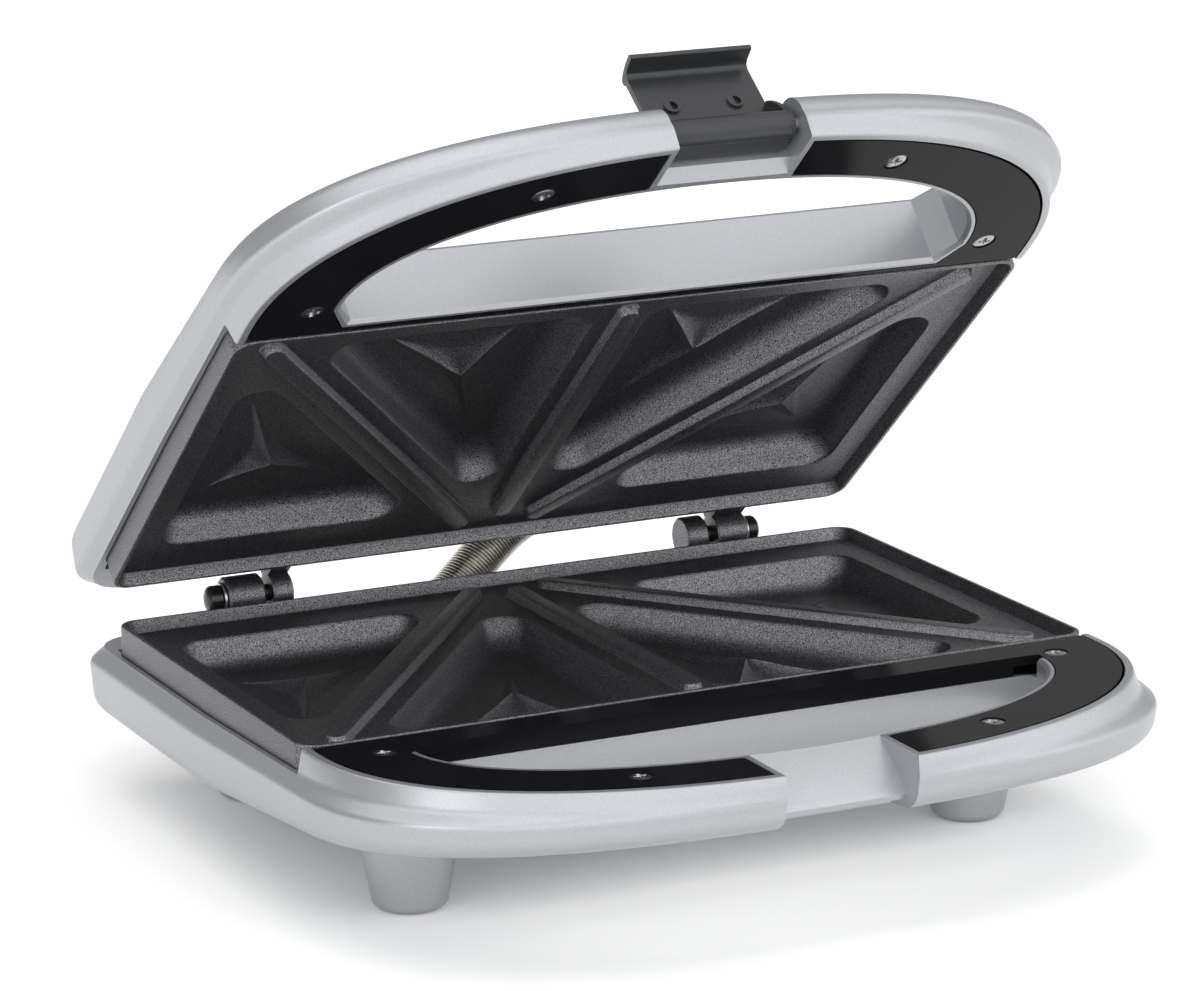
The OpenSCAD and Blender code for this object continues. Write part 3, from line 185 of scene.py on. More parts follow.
def arc(centre, r, start, turn, steps):
    return [(centre[0] + r * math.cos(math.radians(start + turn * i / steps)),
             centre[1] + r * math.sin(math.radians(start + turn * i / steps)))
            for i in range(steps + 1)]


def front_curve(w, front, middle, power, steps):
    points = []
    for i in range(steps + 1):
        a = math.pi * (1 + i / steps)
        c, s = math.cos(a), abs(math.sin(a))
        points.append((math.copysign(w * abs(c) ** (2 / power), c),
                       middle - (middle - front) * s ** (2 / power)))
    return points


def shell_outline(w, front, back, power):
    return (arc((w - CORNER_R, back - CORNER_R), CORNER_R, 0, 90, 10)
            + arc((CORNER_R - w, back - CORNER_R), CORNER_R, 90, 90, 10)
            + [(-w, SLOPE_Y)] + front_curve(w, front, CURVE_Y, power, 96) + [(w, SLOPE_Y)])


def rounded_rect(w, y0, y1, r, steps=8):
    corners = ((w - r, y1 - r), (r - w, y1 - r), (r - w, y0 + r), (w - r, y0 + r))
    return [p for k, corner in enumerate(corners) for p in arc(corner, r, 90 * k, 90, steps)]


def ring_edges(bm, verts):
    return [bm.edges.get(pair) or bm.edges.new(pair)
            for pair in ((verts[i - 1], verts[i]) for i in range(len(verts)))]


def loft(rings, closed=True):
    # a solid through rings of equal count, each drawn out of the one before
    bm = bmesh.new()
    rows = [[bm.verts.new(p) for p in rings[0]]]
    loops = [ring_edges(bm, rows[0])]
    for ring in rings[1:]:
        drawn = bmesh.ops.extrude_edge_only(bm, edges=loops[-1])["geom"]
        fresh = {v for v in drawn if isinstance(v, bmesh.types.BMVert)}
        rows.append([next(e.other_vert(v) for e in v.link_edges if e.other_vert(v) in fresh)
                     for v in rows[-1]])
        for v, p in zip(rows[-1], ring):
            v.co = p
        loops.append(ring_edges(bm, rows[-1]))
    if closed:
        for end in (loops[0], loops[-1]):
            bmesh.ops.edgeloop_fill(bm, edges=end)
    else:
        bmesh.ops.bridge_loops(bm, edges=loops[-1] + loops[0])
    bmesh.ops.recalc_face_normals(bm, faces=bm.faces[:])
    return bm, rows


def as_object(bm, name="tool"):
    mesh = bpy.data.meshes.new(name)
    bm.to_mesh(mesh)
    bm.free()
    made = bpy.data.objects.new(name, mesh)
    scene.collection.objects.link(made)
    return made


def combine(target, operation, *tools):
    for tool in tools:
        change = target.modifiers.new("combine", "BOOLEAN")
        change.operation = operation
        change.solver = "MANIFOLD"
        change.object = tool
        seen = target.evaluated_get(bpy.context.evaluated_depsgraph_get())
        mesh = bpy.data.meshes.new_from_object(seen)
        target.modifiers.clear()
        target.data = mesh
        bpy.data.objects.remove(tool)
    return target


def prism(points, run, name="tool"):
    bm = bmesh.new()
    face = bm.faces.new([bm.verts.new(p) for p in points])
    moved = bmesh.ops.extrude_face_region(bm, geom=[face])["geom"]
    bmesh.ops.translate(bm, vec=run, verts=[v for v in moved if isinstance(v, bmesh.types.BMVert)])
    bmesh.ops.recalc_face_normals(bm, faces=bm.faces[:])
    return as_object(bm, name)


def upright(outline, z0, z1):
    return prism([(x, y, z0) for x, y in outline], (0, 0, z1 - z0))


def across(profile, x0, x1):
    return prism([(x0, y, z) for y, z in profile], (x1 - x0, 0, 0))


def block(low, high):
    bm = bmesh.new()
    bmesh.ops.create_cube(bm, size=1)
    bmesh.ops.scale(bm, vec=Vector(high) - Vector(low), verts=bm.verts[:])
    bmesh.ops.translate(bm, vec=(Vector(high) + Vector(low)) / 2, verts=bm.verts[:])
    return as_object(bm)


def rod(start, end, r0, r1=None, segments=48):
    a, b = Vector(start), Vector(end)
    turn = (b - a).to_track_quat("Z", "Y").to_matrix().to_4x4()
    bm = bmesh.new()
    bmesh.ops.create_cone(bm, cap_ends=True, segments=segments, radius1=r0,
                          radius2=r0 if r1 is None else r1, depth=(b - a).length,
                          matrix=Matrix.Translation((a + b) / 2) @ turn)
    return as_object(bm)


def shell_form(half, inset):
    r = SHELL_R - inset * 0.9
    back = PLATE_DEPTH + SHELL_BACK
    rings = []
    for k in range(9):
        a = math.radians(90 * k / 8)
        inward = inset + DRAFT + r * (1 - math.sin(a))
        rings.append([(x, y, inset + r * (1 - math.cos(a)) - depth_at(y, half)) for x, y in
                      shell_outline(SHELL_HALF - inward, inward - REACH, back + BEVEL - inward,
                                    WIDEST_POWER)])
    rings.append([(x, y, line_z(y, WIDEST_SHARE, half)) for x, y in
                  shell_outline(SHELL_HALF - inset, inset - REACH, back + BEVEL - inset,
                                WIDEST_POWER)])
    rings.append([(x, y, line_z(y, EDGE_SHARE, half)) for x, y in
                  shell_outline(EDGE_HALF - inset, inset - REACH, back - inset, EDGE_POWER)])
    rings.append([(x, y, OVER if inset else -RIM_DROP) for x, y in
                  shell_outline(PLATE_HALF + 0.3 - inset, inset - REACH + 0.3, back - inset - 0.3,
                                RIM_POWER)])
    bm, rows = loft(rings)
    crease = [bm.edges.get((row[i - 1], row[i])) for row in rows[-3:-1] for i in range(len(row))]
    bmesh.ops.bisect_plane(bm, geom=bm.faces[:] + bm.edges[:] + bm.verts[:], dist=1e-4,
                           plane_co=(0, SLOPE_Y, 0), plane_no=(0, 1, 0))
    if not inset:
        crease = [e for e in crease if e.is_valid]
        bmesh.ops.bevel(bm, geom=crease, offset=1.3, affect="EDGES", segments=4, profile=0.5,
                        material=-1)
        rim = [e for e in bm.edges if all(abs(v.co.z + RIM_DROP) < 1e-4 for v in e.verts)]
        bmesh.ops.bevel(bm, geom=rim, offset=0.6, affect="EDGES", segments=3, profile=0.5,
                        material=-1)
    return as_object(bm)


def loop_outline(back, extra):
    side = LOOP_HALF - 5 + extra
    outline = front_curve(LOOP_HALF + extra, -LOOP_FRONT - extra, LOOP_SIDE_Y, 2.15, 72)
    return outline + [(side, extra - back), (-side, extra - back)]


def loop_cutter(half):
    # flared at both ends, so that the edges of the opening come out rounded
    ease = 1.0
    rings = [[(x, y, -depth_at(y, half) - OVER) for x, y in loop_outline(half[2], ease)]]
    for k in range(5):
        a = math.radians(90 * k / 4)
        rings.append([(x, y, -depth_at(y, half) + ease * math.sin(a)) for x, y in
                      loop_outline(half[2], ease * (1 - math.cos(math.pi / 2 - a)) if k else ease)])
    for k in range(5):
        a = math.radians(90 * k / 4)
        rings.append([(x, y, -RIM_DROP - ease * math.cos(a)) for x, y in
                      loop_outline(half[2], ease * (1 - math.cos(a)))])
    rings.append([(x, y, OVER) for x, y in loop_outline(half[2], ease)])
    return as_object(loft(rings)[0])


def recess_cutter(lid):
    behind = ([(-LOOP_FRONT - WALL, OVER), (-LOOP_FRONT - WALL, 0), (-62.2, -1.7), (-64.2, -3),
               (-64.4, -8), (-62.8, -15), (-62.3, -22)] if lid else
              [(-LOOP_FRONT - 1, OVER), (-LOOP_FRONT, 0), (-60, -1.7), (-71.4, -10.4),
               (-72.1, -11.9), (-71.4, -13.3), (-65, -14.2), (-63, -18), (-63, -22)])
    return across(behind + [(-REACH - 5, -22), (-REACH - 5, OVER)], -RECESS_HALF,
                  RECESS_HALF)


def build_shell(half, lid):
    depth = half[0] + OVER
    top = line_z(SLOPE_Y, EDGE_SHARE, half)
    back = PLATE_DEPTH + SHELL_BACK + BEVEL
    form = shell_form(half, 0)
    core = combine(block((-SHELL_HALF - OVER, -REACH - OVER, -depth),
                         (SHELL_HALF + OVER, back + OVER, OVER)),
                   "DIFFERENCE", shell_form(half, WALL))
    parts = [block((-SHELL_HALF, PLATE_DEPTH + SIDE_GAP, top - WALL), (SHELL_HALF, back, top)),
             upright(loop_outline(half[2], WALL - 0.5), -depth, -RIM_DROP if lid else -5.7),
             block((-20.2, -REACH - 1, -depth), (20.2, -LOOP_FRONT, -RIM_DROP)),
             block((-52.5, PLATE_DEPTH + SIDE_GAP, -depth), (52.5, back, top))]
    if not lid:
        front = upright(loop_outline(half[2], WALL - 0.5), -depth, -RIM_DROP)
        parts.append(combine(front, "INTERSECT",
                             block((-SHELL_HALF, -REACH, -depth), (SHELL_HALF, -half[2] - 4, 0))))
    for side in (-1, 1):
        for (x, y), top_z in ((FRONT_SCREW, -2.8), (SIDE_SCREW, -4.8)):
            parts.append(rod((side * x, y, -depth), (side * x, y, top_z), 3.6))
        x = side * REAR_SCREW_X
        parts.append(rod((x, PLATE_DEPTH + 8, REAR_SCREW_Z), (x, back + 1, REAR_SCREW_Z), 4.4))
        for x, y in PLATE_POSTS:
            parts.append(rod((side * x, y, -depth), (side * x, y, WALL + 0.3 - half[0]), 4))
    if not lid:
        parts.append(rod((GLAND_X, PLATE_DEPTH + 12.9, GLAND_Z), (GLAND_X, back + 1, GLAND_Z), 7.5))
    combine(core, "UNION", *parts)
    combine(form, "INTERSECT", core)
    if not lid:
        for x in (-FOOT_X, FOOT_X):
            for y in FOOT_ROWS:
                combine(form, "UNION", build_foot(x, y))
    step = [(0, line_z(0, EDGE_SHARE, half)), (SLOPE_Y, top), (back + OVER, top),
            (back + OVER, OVER), (0, OVER)]
    cuts = [loop_cutter(half), across(step, -SHELL_HALF - OVER, SHELL_HALF + OVER),
            recess_cutter(lid),
            upright(rounded_rect(PLATE_HALF + 0.3, -0.3, PLATE_DEPTH + 0.3, 6.3), -11.3, OVER),
            block((-50, PLATE_DEPTH + SIDE_GAP + WALL, WALL - half[0]), (50, back + OVER, OVER))]
    neck_z = -(half[0] - WALL - 0.3 - 6.8)
    for side in (-1, 1):
        x, z = side * REAR_SCREW_X, REAR_SCREW_Z
        cuts += [rod((x, PLATE_DEPTH + 7, z), (x, back + 2, z), SCREW_HOLE_R),
                 rod((x, back - DRAFT - 2, z), (x, back + 3, z), REAR_HEAD_HOLE_R)]
        cuts += [rod((side * x, y, -12.2), (side * x, y, 0), SCREW_HOLE_R)
                 for x, y in (FRONT_SCREW, SIDE_SCREW)]
    cuts.append(rod((49 if lid else -56.8, 148.5, neck_z),
                    (56.8 if lid else -49, 148.5, neck_z), FERRULE_HOLE_R))
    if lid:
        cuts.append(rod((-21.2, LATCH_Y, LATCH_Z), (21.2, LATCH_Y, LATCH_Z), SCREW_HOLE_R))
        cuts += [rod((x, LAMP_Y, -depth), (x, LAMP_Y, -10), LENS_HOLE_R)
                 for x in (-LAMP_X, LAMP_X)]
    else:
        cuts.append(rod((GLAND_X, PLATE_DEPTH, GLAND_Z), (GLAND_X, back + 15, GLAND_Z), GLAND_HOLE_R))
    return combine(form, "DIFFERENCE", *cuts)


def build_foot(x, y):
    # cone with a rounded foot, hollow from above, and a seat for its pad below
    profile = [(0, 0.4), (7.1, 0.4), (7.7, 0.4)]
    profile += [(7.7 + 2.5 * math.cos(math.radians(a)), 2.9 + 2.5 * math.sin(math.radians(a)))
                for a in range(-75, 1, 15)]
    profile += [(10.2 + 0.17 * 26.8, 27.2), (0, 27.2)]
    bm = bmesh.new()
    verts = [bm.verts.new((r, 0, z)) for r, z in profile]
    edges = [bm.edges.new(pair) for pair in zip(verts, verts[1:])]
    bmesh.ops.spin(bm, geom=verts + edges, cent=(0, 0, 0), axis=(0, 0, 1), angle=math.tau,
                   steps=64, use_merge=True)
    bmesh.ops.remove_doubles(bm, verts=bm.verts[:], dist=1e-4)
    bmesh.ops.recalc_face_normals(bm, faces=bm.faces[:])
    bmesh.ops.translate(bm, vec=(x, y, -RIM_HEIGHT), verts=bm.verts[:])
    foot = as_object(bm)
    combine(foot, "DIFFERENCE", shell_form(BASE_HALF, WALL / 2))
    return combine(foot, "DIFFERENCE", rod((x, y, -RIM_HEIGHT - 1), (x, y, 2 - RIM_HEIGHT), FOOT_PAD_R))


def settle(piece, name, place, sharp=35, merge=0.004):
    # cleans the mesh, sets it in its place in metres and shades it smooth but for its edges
    bm = bmesh.new()
    bm.from_mesh(piece.data)
    bmesh.ops.remove_doubles(bm, verts=bm.verts[:], dist=merge)
    bmesh.ops.dissolve_degenerate(bm, dist=merge, edges=bm.edges[:])
    bmesh.ops.dissolve_limit(bm, angle_limit=math.radians(0.4), verts=bm.verts[:],
                             edges=bm.edges[:], use_dissolve_boundaries=False)
    bmesh.ops.transform(bm, matrix=place, verts=bm.verts[:])
    if place.determinant() < 0:
        bmesh.ops.reverse_faces(bm, faces=bm.faces[:])
    limit = math.radians(sharp)
    for e in bm.edges:
        e.smooth = len(e.link_faces) == 2 and e.calc_face_angle(0) < limit
    for f in bm.faces:
        f.smooth = True
    bm.to_mesh(piece.data)
    bm.free()
    piece.name = piece.data.name = name
    return piece


def edge_finish(piece, width, segments=2, angle=32):
    bevel = piece.modifiers.new("eased_edges", "BEVEL")
    bevel.width = width * 0.001
    bevel.segments = segments
    bevel.limit_method = "ANGLE"
    bevel.angle_limit = math.radians(angle)
    bevel.use_clamp_overlap = True
    bevel.harden_normals = True
    bevel.miter_outer = "MITER_ARC"
    return piece


def new_material(name, colour, metallic, roughness):
    made = bpy.data.materials.new(name)
    made.use_nodes = True
    shader = made.node_tree.nodes["Principled BSDF"]
    shader.inputs["Base Color"].default_value = (*colour, 1)
    shader.inputs["Metallic"].default_value = metallic
    shader.inputs["Roughness"].default_value = roughness
    return made, made.node_tree.nodes, made.node_tree.links, shader


def dress(piece, body, slot, finish, *nodes):
    piece.data.materials.clear()
    piece.data.materials.append(finish)
    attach(piece, body)
    if nodes:
        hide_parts(*nodes)
    return piece


def grained(name, colour, metallic, roughness, scale, low, high, bump, distance=0.00006):
    # a finish whose colour and surface vary with a fine grain, fixed to the piece
    made, tree, wire_up, shader = new_material(name, colour, metallic, roughness)
    place = tree.new("ShaderNodeTexCoord")
    flake = tree.new("ShaderNodeTexNoise")
    flake.inputs["Scale"].default_value = scale
    flake.inputs["Detail"].default_value = 2
    shade = tree.new("ShaderNodeMapRange")
    shade.inputs["From Min"].default_value = 0.3
    shade.inputs["From Max"].default_value = 0.7
    shade.inputs["To Min"].default_value = low
    shade.inputs["To Max"].default_value = high
    tint = tree.new("ShaderNodeMix")
    tint.data_type = "RGBA"
    tint.blend_type = "MULTIPLY"
    tint.inputs[0].default_value = 1.0
    tint.inputs[6].default_value = (*colour, 1)
    grain = tree.new("ShaderNodeBump")
    grain.inputs["Strength"].default_value = bump
    grain.inputs["Distance"].default_value = distance
    wire_up.new(place.outputs["Object"], flake.inputs["Vector"])
    wire_up.new(flake.outputs[0], shade.inputs[0])
    wire_up.new(shade.outputs[0], tint.inputs[7])
    wire_up.new(tint.outputs[2], shader.inputs["Base Color"])
    wire_up.new(flake.outputs[0], grain.inputs["Height"])
    wire_up.new(grain.outputs[0], shader.inputs["Normal"])
    return made, tree, wire_up, shader


silver = grained("silver_paint", (0.40, 0.41, 0.43), 0.75, 0.38, 3000, 0.92, 1.08, 0.08)[0]

for name, half, lid, place_of in (("lower_shell", BASE_HALF, False, BASE_PLACE),
                                  ("upper_shell", LID_HALF, True, LID_PLACE)):
    moulding = settle(build_shell(half, lid), name + "_moulding", place_of)
    dress(moulding, "lid" if lid else "base", "silver_shell", silver, name)

# ---------------------------------------------------------------- cooking plates
# Two aluminium castings with a dark non-stick coat: four three-cornered pockets
# with a star in each, three cutting ribs, a raised rim and the hinge knuckles.
# Lugs at the back and ears under the trim take their screws.
PLATE_T = 2.0
LEDGE = -3.5
FLOOR = -12.5
UNDER = FLOOR - PLATE_T
STAR_H = 4.2
POCKET_WALL = ((-0.9, LEDGE), (-0.45, -3.6), (-0.1, -3.9), (0.15, -4.5), (1, -7), (1.6, -8.6),
               (2.4, -10), (3.4, -11.1), (4.6, -11.9), (6, -12.35), (7.5, FLOOR))
RIB_BACK = Vector((12, PLATE_DEPTH - 11.4))
RIB_FRONT = Vector((PLATE_HALF - 13.5, 10.5))
rib_dir = (RIB_FRONT - RIB_BACK).normalized()


def rib_x(y, side=0.0):
    return RIB_BACK.x + rib_dir.x * (y - RIB_BACK.y) / rib_dir.y - side / rib_dir.y


def rib_y(x, side=0.0):
    return RIB_BACK.y + rib_dir.y * (x - RIB_BACK.x) / rib_dir.x + side / rib_dir.x


def outer_corners(inset):
    x, y, side = PLATE_HALF - 11 - inset, PLATE_DEPTH - 17 - inset, 8.5 + inset
    return [Vector(c) for c in ((x, y), (rib_x(y, side), y), (x, rib_y(x, side)))]


def inner_corners(inset):
    x, y, side = 8 + inset, 12.5 + inset, -8.5 - inset
    return [Vector(c) for c in ((x, y), (rib_x(y, side), y), (x, rib_y(x, side)))]


def three_cornered(corners, r, steps=8, along=9):
    # outline with rounded corners; a point lies on the bisector of each corner
    turns, outline = [], []
    for i in range(3):
        before, tip, after = corners[i - 1], corners[i], corners[(i + 1) % 3]
        u, v = (before - tip).normalized(), (after - tip).normalized()
        half = u.angle(v) / 2
        centre = tip + (u + v).normalized() * r / math.sin(half)
        start = tip + u * r / math.tan(half) - centre
        sweep = start.angle_signed(tip + v * r / math.tan(half) - centre)
        turns.append([centre + Matrix.Rotation(-sweep * k / steps, 2) @ start
                      for k in range(steps + 1)])
    for turn, after in zip(turns, turns[1:] + turns[:1]):
        outline += turn + [turn[-1].lerp(after[0], k / (along + 1)) for k in range(1, along + 1)]
    return outline


def star_height(p, tips):
    for i in range(3):
        a, b = tips[i], tips[(i + 1) % 3]
        det = a.x * b.y - a.y * b.x
        along_a, along_b = (p.x * b.y - p.y * b.x) / det, (a.x * p.y - a.y * p.x) / det
        if along_a >= -1e-6 and along_b >= -1e-6:
            valley = 2 * along_a * along_b / (along_a + along_b + 1e-9)
            return STAR_H * max(0.0, 1 - along_a - along_b - 2.2 * valley)
    return 0.0


def mirrored(source):
    copy = bpy.data.objects.new(source.name, source.data.copy())
    scene.collection.objects.link(copy)
    copy.data.transform(Matrix.Diagonal((-1, 1, 1, 1)))
    copy.data.flip_normals()
    return copy


def pocket_cutter(corners_at):
    def ring(inset, z):
        r = 7 - inset * (1.0 if inset < 0 else 0.5)
        return [(p.x, p.y, z) for p in three_cornered(corners_at(inset), r)]

    rings = [ring(POCKET_WALL[0][0], OVER)] + [ring(inset, z) for inset, z in POCKET_WALL]
    corners = corners_at(0)
    centre = sum(corners, Vector((0, 0))) / 3
    floor = [Vector(p[:2]) - centre for p in rings[-1]]
    ridge = [18 * i + 4 for i in range(3)]
    tips = [floor[k].normalized() * (c - centre).length * 0.5 for k, c in zip(ridge, corners)]
    steps = [0.93, 0.86, 0.79, 0.72, 0.65, 0.58, 0.51, 0.44, 0.37, 0.3, 0.23, 0.16, 0.09, 0.02]
    for s in steps:
        rings.append([(centre.x + s * p.x, centre.y + s * p.y, FLOOR + star_height(s * p, tips))
                      for p in floor])
    bm, rows = loft(rings)
    crests = [bm.edges.get((outer[k], inner[k]))
              for outer, inner in zip(rows[-12:-3], rows[-11:-2]) for k in ridge]
    bmesh.ops.bevel(bm, geom=crests, offset=0.35, affect="EDGES", segments=2, profile=0.5,
                    material=-1)
    return as_object(bm)


def slot(a, b, r, steps=12):
    heading = math.degrees(math.atan2(b.y - a.y, b.x - a.x))
    return arc(b, r, heading - 90, 180, steps) + arc(a, r, heading + 90, 180, steps)


def rib_bar(a, b):
    rings = [[(x, y, z) for x, y in slot(a, b, 2.25 + grow)] for grow, z in
             ((1.3, -3.8), (1.3, -3.5), (0.95, -3.3), (0.8, -3.0), (0.35, -1.45), (0.05, -1.1),
              (-0.1, -1.05))]
    return as_object(loft(rings)[0])


def plate_casting(knuckles, bores, axis_z):
    def rim(inset, z, r):
        return [(x, y, z) for x, y in rounded_rect(PLATE_HALF - inset, inset,
                                                   PLATE_DEPTH - inset, r)]

    rings = [rim(0, -11, 6)]
    rings += [rim(0.5 * (1 - math.cos(a)), 0.5 * (math.sin(a) - 1), 6 - 0.5 * (1 - math.cos(a)))
              for a in (math.radians(d) for d in range(0, 91, 30))]
    rings += [rim(1.0, 0, 5), rim(1.25, -0.08, 4.85), rim(2.7, -3.0, 3.6), rim(3.0, -3.35, 3.3),
              rim(3.6, LEDGE, 2.9)]
    casting = as_object(loft(rings)[0])
    combine(casting, "DIFFERENCE",
            upright(rounded_rect(PLATE_HALF - PLATE_T, PLATE_T, PLATE_DEPTH - PLATE_T, 4),
                    -12, LEDGE - PLATE_T))
    solid, hollow = [], []
    for corners_at in (outer_corners, inner_corners):
        under = as_object(loft([[(p.x, p.y, z) for p in three_cornered(corners_at(inset), r)]
                                for inset, z, r in ((3, UNDER, 4.2), (0.5, UNDER + 2.5, 6),
                                                    (-2, LEDGE - 1, 7))])[0])
        cutter = pocket_cutter(corners_at)
        solid += [under, mirrored(under)]
        hollow += [cutter, mirrored(cutter)]
    y = 104 + 8.2
    bosses = [(0, 58.2), (0, 78)]
    for side in (-1, 1):
        bosses += [(side * 57.8, rib_y(57.8)), (side * rib_x(y), y)]
        ear_x, ear_y = side * SIDE_SCREW[0], SIDE_SCREW[1]
        rear_x, rear_z = side * REAR_SCREW_X, REAR_SCREW_Z
        solid += [block((ear_x - 3, -15.4, -4.8), (ear_x + 3, 1, -2.8)),
                  block((rear_x - 4.5, PLATE_DEPTH - 2, -19.5), (rear_x + 4.5, PLATE_DEPTH, -7.5)),
                  block((rear_x - 4.5, PLATE_DEPTH - 2, -19.5),
                        (rear_x + 4.5, PLATE_DEPTH + 8, -11.7))]
        hollow += [rod((ear_x, ear_y, -6), (ear_x, ear_y, 0), SCREW_HOLE_R),
                   rod((rear_x, PLATE_DEPTH - 3, rear_z), (rear_x, PLATE_DEPTH + 9, rear_z),
                       SCREW_HOLE_R)]
    for x, y in bosses:
        solid.append(rod((x, y, UNDER), (x, y, LEDGE - 1), 3.2))
        hollow.append(rod((x, y, UNDER - 1), (x, y, UNDER + 6), 1.23))
    for low, high in knuckles:
        ends = [(low, 5.4), (low + 0.6, 6), (high - 0.6, 6), (high, 5.4)]
        turned = [[(x, HINGE_Y + py, axis_z + pz) for py, pz in arc((0, 0), radius, 0, 354.375, 63)]
                  for x, radius in ends]
        solid.append(as_object(loft(turned)[0]))
        solid.append(block((low, PLATE_DEPTH - 1, -6.6), (high, HINGE_Y, -2.2)))
    hollow += [rod((low, HINGE_Y, axis_z), (high, HINGE_Y, axis_z), 2.53) for low, high in bores]
    combine(casting, "UNION", *solid)
    combine(casting, "DIFFERENCE", *hollow)
    back, front = RIB_BACK, RIB_FRONT
    return combine(casting, "UNION", rib_bar(back, front),
                   rib_bar(Vector((-back.x, back.y)), Vector((-front.x, front.y))),
                   rib_bar(Vector((0, 10.95)), Vector((0, PLATE_DEPTH - 16.4))))


nonstick = grained("nonstick_coat", (0.10, 0.10, 0.106), 0.9, 0.36, 3200, 0.0, 2.9, 0.8,
                   0.00014)[0]
for name, lid, place_of, knuckles, bores, axis_z in (
        ("lower_plate", False, BASE_PLACE, ((-78.2, -67.3), (66, 72.9)),
         ((-79, -66), (67.8, 74)), -HINGE_DROP),
        ("upper_plate", True, LID_PLACE, ((-64.9, -58.8), (75.9, 85.8)),
         ((-66, -60.5), (75, 87)), HINGE_DROP + CLOSED_GAP)):
    casting = settle(plate_casting(knuckles, bores, axis_z), name + "_casting", place_of, sharp=28)
    dress(casting, "lid" if lid else "base", "nonstick_plate", nonstick, name)

# ---------------------------------------------------------------- black trim
# A glossy black frame screwed into each handle, round the finger opening. The
# lower one has a lip down the back of the opening.
TRIM_FLOOR = -2.8


def trim_frame(loop_back, lip):
    outer = front_curve(112.4, -75.8, CURVE_Y, RIM_POWER, 120) + [(112.4, -0.8), (-112.4, -0.8)]
    frame_of = upright(outer, TRIM_FLOOR, -RIM_DROP)
    opening = loop_outline(loop_back, 2.4)
    if lip:
        opening = opening[:-2] + [(LOOP_HALF - 2.6, -loop_back), (2.6 - LOOP_HALF, -loop_back)]
    combine(frame_of, "DIFFERENCE", upright(opening, -5, OVER),
            block((-20.6, -REACH - 1, -5), (20.6, -55.6, OVER)))
    if lip:
        combine(frame_of, "UNION", block((-85, -loop_back, -5.4), (85, 2 - loop_back, -0.4)))
    bm = bmesh.new()
    bm.from_mesh(frame_of.data)
    bmesh.ops.remove_doubles(bm, verts=bm.verts[:], dist=0.002)
    ends = [e for e in bm.edges if all(abs(abs(v.co.x) - 20.6) < 0.01 and v.co.y < -58
                                       for v in e.verts)
            and abs(e.verts[0].co.z - e.verts[1].co.z) > 1]
    bmesh.ops.bevel(bm, geom=ends, offset=1.0, affect="EDGES", segments=4, profile=0.5, material=-1)
    bm.to_mesh(frame_of.data)
    bm.free()
    holes = []
    for side in (-1, 1):
        for x, y in (FRONT_SCREW, SIDE_SCREW):
            holes += [rod((side * x, y, -4), (side * x, y, 0), SCREW_HOLE_R),
                      rod((side * x, y, -RIM_DROP - 1.4), (side * x, y, OVER),
                          SCREW_HEAD_HOLE_R)]
    return combine(frame_of, "DIFFERENCE", *holes)


gloss_black, tree, wire_up, shader = grained("trim_black", (0.006, 0.006, 0.007), 0.0, 0.12,
                                             900, 0.9, 1.1, 0.02)
shader.inputs["Specular IOR Level"].default_value = 0.06
for name, loop_back, lid, place_of in (("lower_trim", 11.5, False, BASE_PLACE),
                                       ("upper_trim", 4.8, True, LID_PLACE)):
    trim = settle(trim_frame(loop_back, not lid), name + "_frame", place_of)
    dress(edge_finish(trim, 0.3), "lid" if lid else "base", "black_trim", gloss_black, name)

# ---------------------------------------------------------------- screws
# Cross-head screws in dark plated steel: four hold each trim, two hold each
# plate from the back.
dark_steel = grained("screw_steel", (0.42, 0.42, 0.44), 1.0, 0.22, 1500, 0.8, 1.2, 0.15)[0]


def cross_screw(place, head_r, shank_r, length, head_t=1.3):
    # drawn pointing down, its head below z = 0
    profile = [(0, 0), (head_r * 0.55, -0.03), (head_r * 0.85, -0.12), (head_r, -0.35),
               (head_r, -head_t), (shank_r, -head_t), (shank_r, 1 - head_t - length),
               (shank_r * 0.5, -head_t - length), (0, -head_t - length)]
    bm = bmesh.new()
    verts = [bm.verts.new((r, 0, z)) for r, z in profile]
    edges = [bm.edges.new(pair) for pair in zip(verts, verts[1:])]
    bmesh.ops.spin(bm, geom=verts + edges, cent=(0, 0, 0), axis=(0, 0, 1), angle=math.tau,
                   steps=40, use_merge=True)
    bmesh.ops.remove_doubles(bm, verts=bm.verts[:], dist=1e-4)
    bmesh.ops.recalc_face_normals(bm, faces=bm.faces[:])
    screw = as_object(bm)
    for turn in (0, 90):
        rings = [[(x, y, z) for x, y in ((w, t), (-w, t), (-w, -t), (w, -t))]
                 for w, t, z in ((head_r * 0.3, head_r * 0.10, -0.85),
                                (head_r * 0.62, head_r * 0.17, 0.2))]
        cut = as_object(loft(rings)[0])
        cut.data.transform(Matrix.Rotation(math.radians(turn), 4, "Z"))
        combine(screw, "DIFFERENCE", cut)
    screw.data.transform(place)
    return screw


def joined(objects):
    # several separate solids as one piece
    bm = bmesh.new()
    for made in objects:
        bm.from_mesh(made.data)
        bpy.data.objects.remove(made)
    return as_object(bm)


